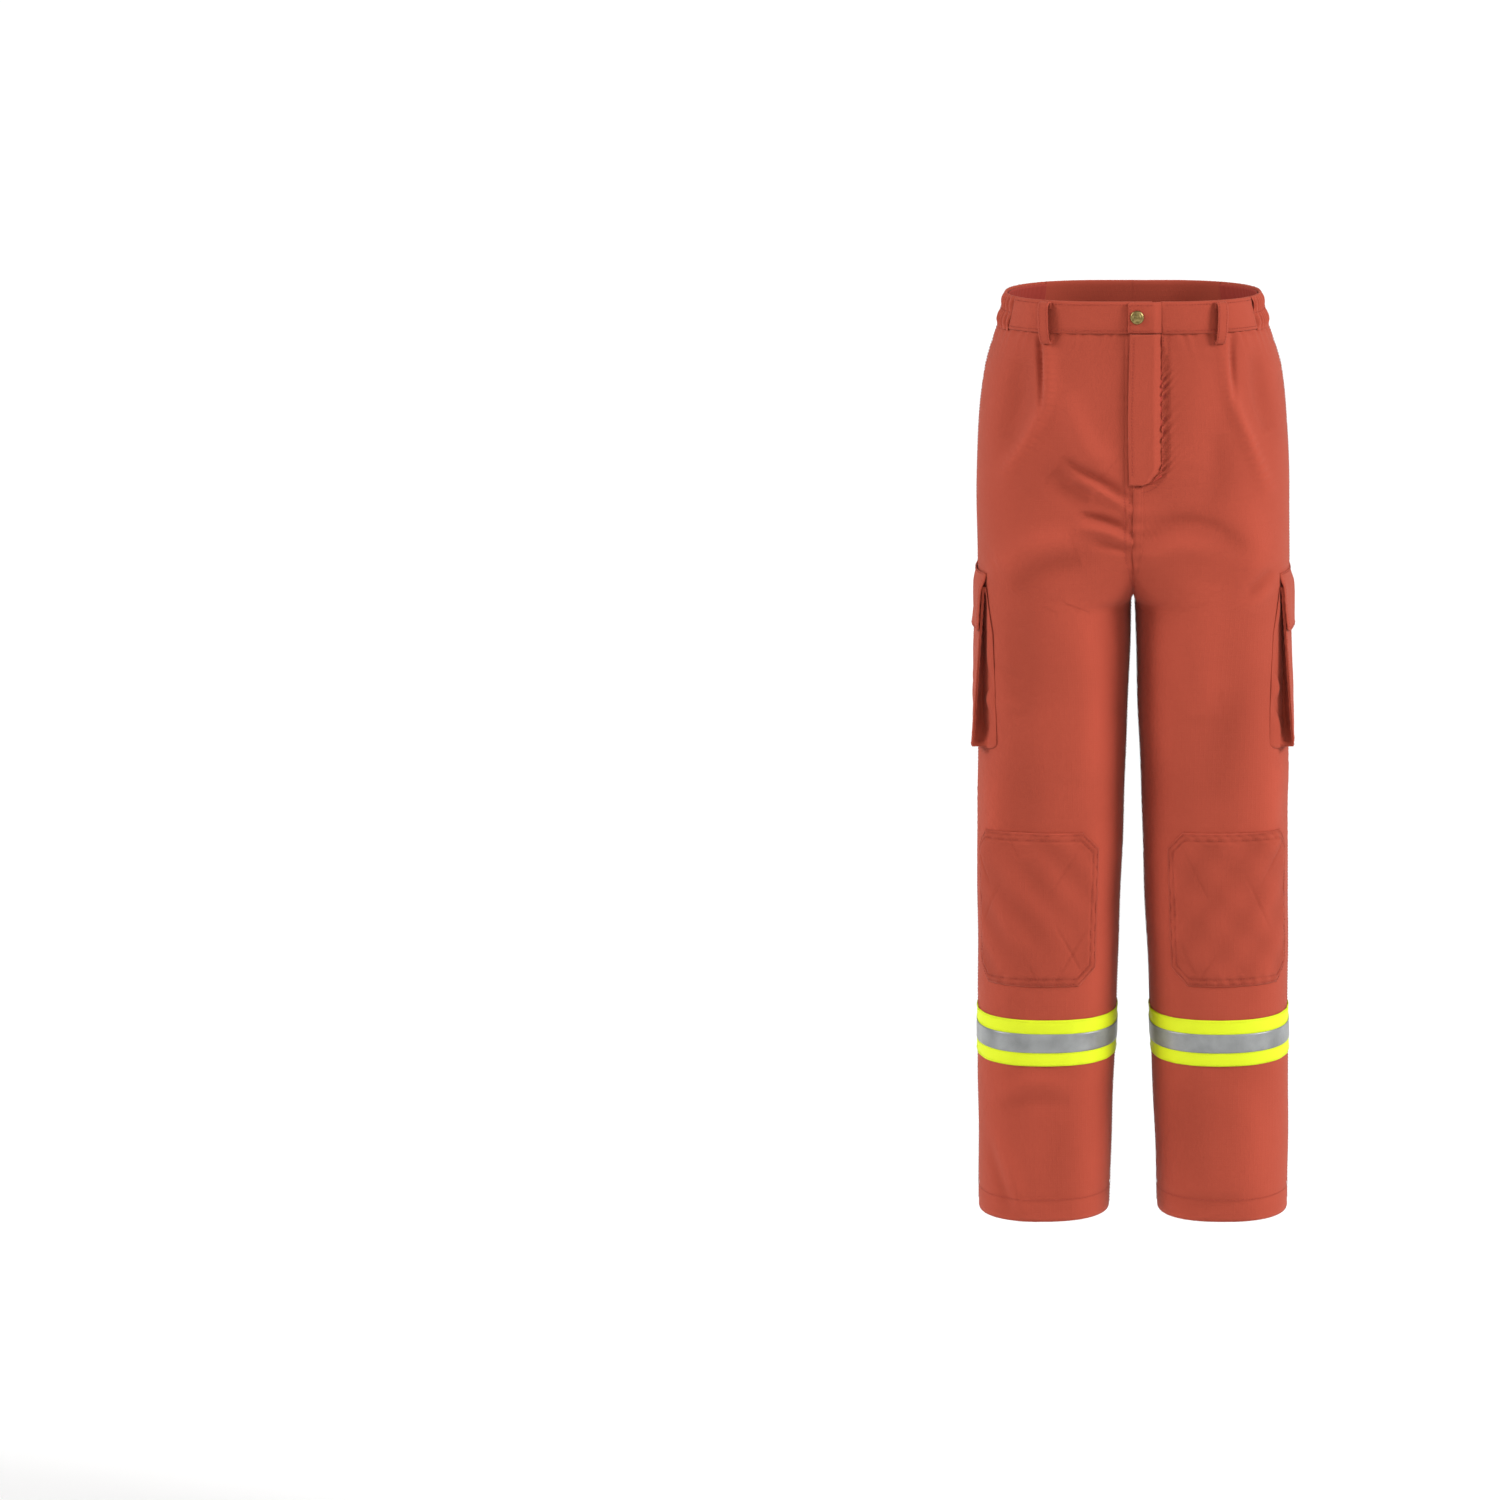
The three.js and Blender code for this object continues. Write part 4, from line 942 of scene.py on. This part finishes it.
# ---- cargo pockets ----
# A patch pocket on the outside of each thigh: a face held off the leg by a bellows gusset round
# three sides, whose outer edges are pinched and sewn. A loop strip is sewn on under the flap.
MOUTH = 0.317
POCKET_END = 0.494
POCKET_HALF = 0.072
POCKET_CORNER = 0.007


def leg_side(y, drop):
    """Distance of the leg's outer side from the centre plane, at places (y, drop)."""
    y, drop = np.broadcast_arrays(np.asarray(y, float), np.asarray(drop, float))
    out = np.zeros(y.shape)
    for index in np.ndindex(y.shape):
        px, py = outline("front" if y[index] < 0 else "back", float(drop[index]))
        quarter = ANGLES <= pi / 2
        out[index] = np.interp(abs(y[index]), py[quarter], px[quarter])
    return out


def pocket_face(side, y, drop):
    """Distance of the pocket's face from the centre plane."""
    share = np.clip((drop - MOUTH) / (POCKET_END - MOUTH), 0, 1)
    sag = np.where(y < 0, 9 - 8 * share, 4 - 3 * share) * (y / POCKET_HALF) ** 2
    soft = (0.9 * np.sin(y * 52 + side) * np.sin(drop * 41 + 1.1) + 0.5 * np.sin(y * 120 + drop * 60 * side)
            + 0.8 * np.exp(-((drop - 0.43 - 0.25 * side * y) / 0.012) ** 2))
    return HIP + (1.6 + 4.4 * share - sag + soft * np.clip((POCKET_HALF - abs(y)) / 0.02, 0, 1)) * 0.001


for side, name in ((-1, "right"), (1, "left")):
    drops = np.linspace(MOUTH, POCKET_END, 74)[:, None]
    across = np.linspace(-1, 1, 66)[None]
    low = np.clip((drops - (POCKET_END - POCKET_CORNER)) / POCKET_CORNER, 0, 1)
    half = POCKET_HALF - POCKET_CORNER * (1 - np.sqrt(1 - low * low))
    y = across * half
    down = np.broadcast_to(drops, y.shape)
    rim = np.minimum(half - abs(y), POCKET_END - down)
    roll = 0.0016 * np.clip(1 - rim / 0.003, 0, 1) ** 2 - 0.0006 * np.exp(-((rim - 0.0034) / 0.0012) ** 2)
    ripple = 0.0004 * np.sin(2 * pi * (down + y) / 0.010 + 2 * np.sin(down * 90)) * np.exp(-rim / 0.006)
    x = pocket_face(side, y, down) - roll + ripple
    points = np.stack((side * x, y, -down), axis=-1)
    worn_sheet(f"cargo_face_{name}_cloth", points, y, SHELL, f"cargo_face_{name}", "trousers",
               thickness=0.0012)
    wide, low_end = POCKET_HALF - 0.0024, POCKET_END - 0.0024
    path_y = np.concatenate((np.full(40, -wide), np.linspace(-wide, wide, 60), np.full(40, wide)))
    down_side = np.linspace(MOUTH + 0.003, low_end, 40)
    up_side = np.linspace(low_end, MOUTH + 0.003, 40)
    path_d = np.concatenate((down_side, np.full(60, low_end), up_side))
    line = np.stack((side * (pocket_face(side, path_y, path_d) + 0.0001), path_y, -path_d), -1)
    rows = [(line, facing((side, 0, 0), len(line)))]
    for drop in (MOUTH + 0.010, MOUTH + 0.016):
        path_y = np.linspace(-POCKET_HALF + 0.004, POCKET_HALF - 0.004, 60)
        line = np.stack((side * pocket_face(side, path_y, drop), path_y, np.full(60, -drop)), -1)
        rows.append((line, facing((side, 0, 0), 60)))
    stitches(f"cargo_stitches_{name}", rows, "trousers")

    side_run = np.linspace(MOUTH + 0.0006, POCKET_END - POCKET_CORNER, 54)
    bend = np.linspace(0, pi / 2, 8)[1:-1]
    inner = POCKET_HALF - POCKET_CORNER
    path_y = np.concatenate((np.full(54, -POCKET_HALF), -inner - POCKET_CORNER * np.cos(bend),
                             np.linspace(-inner, inner, 60), inner + POCKET_CORNER * np.sin(bend),
                             np.full(54, POCKET_HALF)))
    corner_top = POCKET_END - POCKET_CORNER
    path_d = np.concatenate((side_run, corner_top + POCKET_CORNER * np.sin(bend), np.full(60, POCKET_END),
                             corner_top + POCKET_CORNER * np.cos(bend), side_run[::-1]))
    out_y = np.gradient(path_d)
    out_d = -np.gradient(path_y)
    size = np.hypot(out_y, out_d)
    out_y, out_d = -out_y / size, -out_d / size
    step = np.concatenate(([0], np.cumsum(np.hypot(np.diff(path_y), np.diff(path_d)))))
    outer = pocket_face(side, path_y, path_d) - 0.0006
    across = np.linspace(0, 1, 30)[None]
    valley = np.clip(across / 0.56, 0, 1)
    strip = np.clip((across - 0.56) / 0.44, 0, 1)
    wave = 0.5 + 0.5 * np.sin(step / 0.0105 + side + 1.4 * np.sin(step / 0.019))
    lip = (0.55 + 0.22 * wave)[:, None]
    upright = (abs(path_y) > inner + 0.0001)
    closing = np.clip((POCKET_END - 0.002 - path_d) / 0.026, 0, 1) ** 0.7
    deep = np.where(upright, 0.0170 * closing, 0.0020)[:, None]
    forward = 0.009 * np.sign(path_y) * upright * np.clip((path_d - MOUTH) / 0.05, 0, 1)
    inner_x = leg_side(path_y + forward, path_d) + 0.0004
    reach = valley * lip + strip * (1 - lip)
    x = outer[:, None] * (1 - reach) + inner_x[:, None] * reach
    fold = -deep * np.sin(pi * valley) ** 0.8 + 0.0012 * np.sin(pi * strip)
    y = path_y[:, None] + out_y[:, None] * fold + forward[:, None] * strip
    down = path_d[:, None] + out_d[:, None] * fold
    # Painted shade: the gusset's folded valley is darkened in colour.
    shade = -1.0 * np.sin(pi * valley) * np.ones_like(x)
    points = np.stack((side * x, y, -down), axis=-1)
    run = np.broadcast_to(across * 0.016, x.shape)
    worn_sheet(f"cargo_gusset_{name}_cloth", points, run, SHELL, f"cargo_gusset_{name}", "trousers",
               held="folded", thickness=0.0010, wear=shade)

# ---- cargo flaps ----
# A doubled flap of shell cloth sewn to the leg above each pocket, closed by a strip of hooks that
# grips the loop strip on the pocket's face.
HOOK_LOOP = cloth("hook_and_loop", (0.36, 0.045, 0.030), "hook_loop", grid=False, weave=0.0016,
                  roughness=0.97, wear_and_painted_light_strength=0.0)
FLAP_TOP = 0.302
FLAP_END = 0.366
FLAP_HALF = 0.0738
for side, name in ((-1, "right"), (1, "left")):
    for kind, node_name, lift, body in (("loop", "cargo_loop_strip", 0.0001, "trousers"),
                                        ("hook", "cargo_hook_strip", 0.0009, f"cargo_flap_{name}")):
        drops = np.linspace(0.3334, 0.3526, 8)[:, None]
        y = np.linspace(-0.0496, 0.0496, 30)[None] + 0 * drops
        down = np.broadcast_to(drops, y.shape)
        x = pocket_face(side, y, down) + lift + 0.0005
        points = np.stack((side * x, y, -down), axis=-1)
        worn_sheet(f"{node_name}_{name}_pile", points, y, HOOK_LOOP, f"{node_name}_{name}", body,
                   held="stretched", thickness=0.0004)
    marks = np.linspace(0, 1, 44)[:, None]
    drops = FLAP_TOP + (FLAP_END - FLAP_TOP) * marks
    across = np.linspace(-1, 1, 60)[None]
    low = np.clip((drops - (FLAP_END - 0.006)) / 0.006, 0, 1)
    half = FLAP_HALF - 0.006 * (1 - np.sqrt(1 - low * low)) - 0.0012 * (1 - marks)
    y = across * half
    down = np.broadcast_to(drops, y.shape)
    on_leg = leg_side(y, down) + 0.0016
    over = pocket_face(side, y, np.maximum(down, MOUTH)) + 0.0030
    part = np.clip((down - FLAP_TOP) / 0.020, 0, 1)
    part = part * part * (3 - 2 * part)
    rim = np.minimum(half - abs(y), FLAP_END - down)
    roll = 0.0007 * np.clip(1 - rim / 0.0025, 0, 1) ** 2
    soft = (0.0007 * np.sin(y * 43 + side * 0.8) * np.sin(down * 80)
            + 0.0011 * marks ** 2 * np.sin(y * 26 + side * 2)
            + 0.0003 * np.sin(2 * pi * (down - y) / 0.011) * np.exp(-rim / 0.006))
    x = np.maximum(on_leg * (1 - part) + over * part, on_leg) - roll + soft * part
    points = np.stack((side * x, y, -down), axis=-1)
    flap = worn_sheet(f"cargo_flap_{name}_cloth", points, y, SHELL, f"cargo_flap_{name}", None,
                      thickness=0.0013)
    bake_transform(flap)
    line = np.concatenate((points[5:41, 2], points[41, 2:-2], points[41:4:-1, -3]))
    lines = [(line, facing((side, 0, 0), len(line)))]
    stitches(f"cargo_flap_stitches_{name}", lines, f"cargo_flap_{name}", rise=0.0001)
    line = points[1, 1:-1] + (side * 0.0002, 0, 0)
    stitches(f"cargo_flap_seam_{name}", [(line, facing((side, 0, 0), len(line)))], "trousers", rise=0.0001)

# ---- knees ----
# An eight-sided patch of shell cloth over a thin foam pad, held by two rows of stitches that pucker
# its edge and quilt faint diagonal creases into it.
KNEE_TOP = 0.585
KNEE_END = 0.754
KNEE_FROM = 24
KNEE_TO = 126
KNEE_CHAMFER = 0.019
KNEE_ROWS = (0.0024, 0.0080)
PAD_INSET = 0.012
FOAM = bpy.data.materials.new("knee_foam")
FOAM.use_nodes = True
FOAM.node_tree.nodes["Principled BSDF"].inputs["Base Color"].default_value = (0.28, 0.28, 0.26, 1)
FOAM.node_tree.nodes["Principled BSDF"].inputs["Roughness"].default_value = 1.0
FOAM["slot"] = "foam"


def knee_grid(top, end, inset, rows, columns):
    """Eight-sided rows and columns on the front of the leg, with each point's distance to the edge."""
    drops = np.linspace(top, end, rows)
    shares = np.zeros((rows, columns))
    rim = np.zeros((rows, columns))
    for r, drop in enumerate(drops):
        total = section_length("front", drop)
        first = share_at_angle("front", drop, KNEE_FROM) * total + inset
        last = share_at_angle("front", drop, KNEE_TO) * total - inset
        ends = min(drop - top, end - drop)
        cut = max(0.0, KNEE_CHAMFER - inset * 0.4 - ends)
        places = np.linspace(first + cut, last - cut, columns)
        shares[r] = places / total
        edge = np.minimum(places - first, last - places)
        rim[r] = np.minimum(np.minimum(edge, ends), (edge + ends - KNEE_CHAMFER) * 0.7071)
    return drops, shares, np.maximum(rim, 0)


for side, name in ((-1, "right"), (1, "left")):
    drops, shares, rim = knee_grid(KNEE_TOP, KNEE_END, 0.0, 100, 104)
    down = np.tile(drops[:, None], (1, shares.shape[1]))
    _, _, run = worn(side, "front", drops, shares, folds=0)
    lift = 0.0010 + 0.0014 * np.clip(rim / 0.0012, 0, 1) + 0.0020 * np.clip((rim - 0.0012) / 0.010, 0, 1)
    for inset in KNEE_ROWS:
        lift = lift - 0.0008 * np.exp(-((rim - inset) / 0.0012) ** 2)
    slope = down * 0.7 + run * (1 if side > 0 else 0.8)
    edge_wave = np.sin(2 * pi * slope / 0.0125 + 2.2 * np.sin(down * 63 + side))
    lift = lift + 0.0005 * edge_wave * np.exp(-((rim - 0.006) / 0.0055) ** 2)
    slant = run + side * 0.5 * down
    counter = run - side * 0.62 * down
    quilt = 0.0006 * np.sin(slant * 118 + side) * np.sin(down * 66) + 0.0004 * np.sin(run * 150 - down * 92)
    for line, pitch, phase in ((slant, 0.052, 0.013), (counter, 0.061, 0.030)):
        away = (line + phase) % pitch - pitch / 2
        broken = np.clip(np.sin(down * 47 + line * 31 + side), 0, 1)
        quilt = quilt - 0.0008 * np.exp(-(away / 0.0016) ** 2) * broken
    lift = lift + quilt * np.clip(rim / 0.016, 0, 1)
    points, _, run = worn(side, "front", drops, shares, lift)
    # Tone: the patch darker all over, painted shade in its stitch grooves and quilt creases, painted
    # highlights on its quilt ridges and its edge.
    grooves = sum(np.exp(-((rim - inset) / 0.0010) ** 2) for inset in KNEE_ROWS)
    wear = np.clip(quilt / 0.0008, -1, 1) * 0.4 - 0.45 - 0.9 * grooves + 0.9 * np.exp(-(rim / 0.0008) ** 2)
    worn_sheet(f"knee_patch_{name}_cloth", points, run, SHELL, f"knee_patch_{name}", "trousers",
               thickness=0.0010, wear=wear)
    rows = []
    for inset in KNEE_ROWS:
        top, end = KNEE_TOP + inset, KNEE_END - inset
        cut = KNEE_CHAMFER - inset * 0.6
        left_run = []
        right_run = []
        for d, narrower in ((top, cut), (top + cut, 0.0), (end - cut, 0.0), (end, cut)):
            total = section_length("front", d)
            left_run.append((d, share_at_angle("front", d, KNEE_FROM) * total + inset + narrower))
            right_run.append((d, share_at_angle("front", d, KNEE_TO) * total - inset - narrower))
        ring_points = left_run[:1] + right_run + left_run[::-1]
        path = np.concatenate([np.linspace(a, b, 30)[:-1] for a, b in zip(ring_points, ring_points[1:])])
        line_shares = np.zeros((len(path), 1))
        for r, (d, place) in enumerate(path):
            line_shares[r] = place / section_length("front", d)
        height = 0.0024 + 0.0020 * np.clip((inset - 0.0012) / 0.010, 0, 1) - 0.0007
        line, out, _ = worn(side, "front", path[:, 0], line_shares, height)
        rows.append((line[:, 0], out[:, 0]))
    stitches(f"knee_stitches_{name}", rows, "trousers")

    drops, shares, rim = knee_grid(KNEE_TOP + PAD_INSET, KNEE_END - PAD_INSET, PAD_INSET, 24, 24)
    top, _, run = worn(side, "front", drops, shares, 0.0006 + 0.0020 * np.clip(rim / 0.01, 0, 1) ** 0.5)
    pad = sheet_piece(f"knee_pad_{name}_foam", top, run, FOAM, thickness=0.0018)
    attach(pad, "trousers")
    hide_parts(f"knee_pad_{name}")

# ---- reflective tape ----
# A band of fluorescent yellow woven tape round each shin, sewn along both edges, with a narrower
# strip of silver bead-coated tape along its middle.
TAPE_TOP = 0.790
TAPE_END = 0.840
STRIP_TOP = 0.805
STRIP_END = 0.825
YELLOW = cloth("hivis_tape", (0.63, 0.73, 0.014), "hivis_tape", grid=False, weave=0.0009, roughness=0.6,
               sheen=0.0, wear_and_painted_light_strength=0.05)
SILVER = bpy.data.materials.new("bead_tape")
SILVER.use_nodes = True
tree = SILVER.node_tree
shader = tree.nodes["Principled BSDF"]
shader.inputs["Roughness"].default_value = 0.42
shader.inputs["Metallic"].default_value = 0.35
place = tree.nodes.new("ShaderNodeTexCoord")
beads = node(tree, "ShaderNodeTexNoise", Scale=1500.0, Detail=2.0)
streak = node(tree, "ShaderNodeTexNoise", Scale=38.0, Detail=3.0)
tree.links.new(place.outputs["UV"], beads.inputs["Vector"])
tree.links.new(place.outputs["Object"], streak.inputs["Vector"])
glitter = multiply_add(tree, beads.outputs["Fac"], 0.45, streak.outputs["Fac"])
tone = two_tone(tree, glitter, 0.35, (0.155, 0.160, 0.160), 1.0, (0.33, 0.34, 0.34))
tree.links.new(tone, shader.inputs["Base Color"])
SILVER["slot"] = "reflective"
TAPE_THREAD = cloth("tape_thread", (0.62, 0.74, 0.02), "hivis_tape", grid=False, weave=0.0003)
for side, name in ((-1, "right"), (1, "left")):
    drops = np.linspace(TAPE_TOP, TAPE_END, 28)
    rim = np.minimum(drops - TAPE_TOP, TAPE_END - drops)
    lift = (0.0012 - 0.0004 * np.exp(-((rim - 0.0016) / 0.0010) ** 2))[:, None]
    points, outward, run = leg_ring(side, drops, lift, columns=110)
    pull = 0.0003 * np.sin(run * 210 + 1.5 * np.sin(run * 37)) * np.exp(-rim / 0.006)[:, None]
    points = points + outward * pull[..., None]
    worn_sheet(f"hivis_tape_{name}_cloth", points, run, YELLOW, f"hivis_tape_{name}", "trousers",
               thickness=0.0007, closed=True)
    drops = np.linspace(STRIP_TOP, STRIP_END, 12)
    points, _, run = leg_ring(side, drops, 0.0018, columns=110)
    worn_sheet(f"reflective_strip_{name}_film", points, run, SILVER, f"reflective_strip_{name}", "trousers",
               thickness=0.0004, closed=True)
    rows = []
    for drop in (TAPE_TOP + 0.0016, STRIP_TOP - 0.0013, STRIP_END + 0.0013, TAPE_END - 0.0016):
        line, out, _ = leg_ring(side, [drop], 0.0012, columns=110)
        rows.append((line[0], out[0]))
    stitches(f"tape_stitches_{name}", rows, "trousers", material=TAPE_THREAD)

bpy.context.view_layer.update()
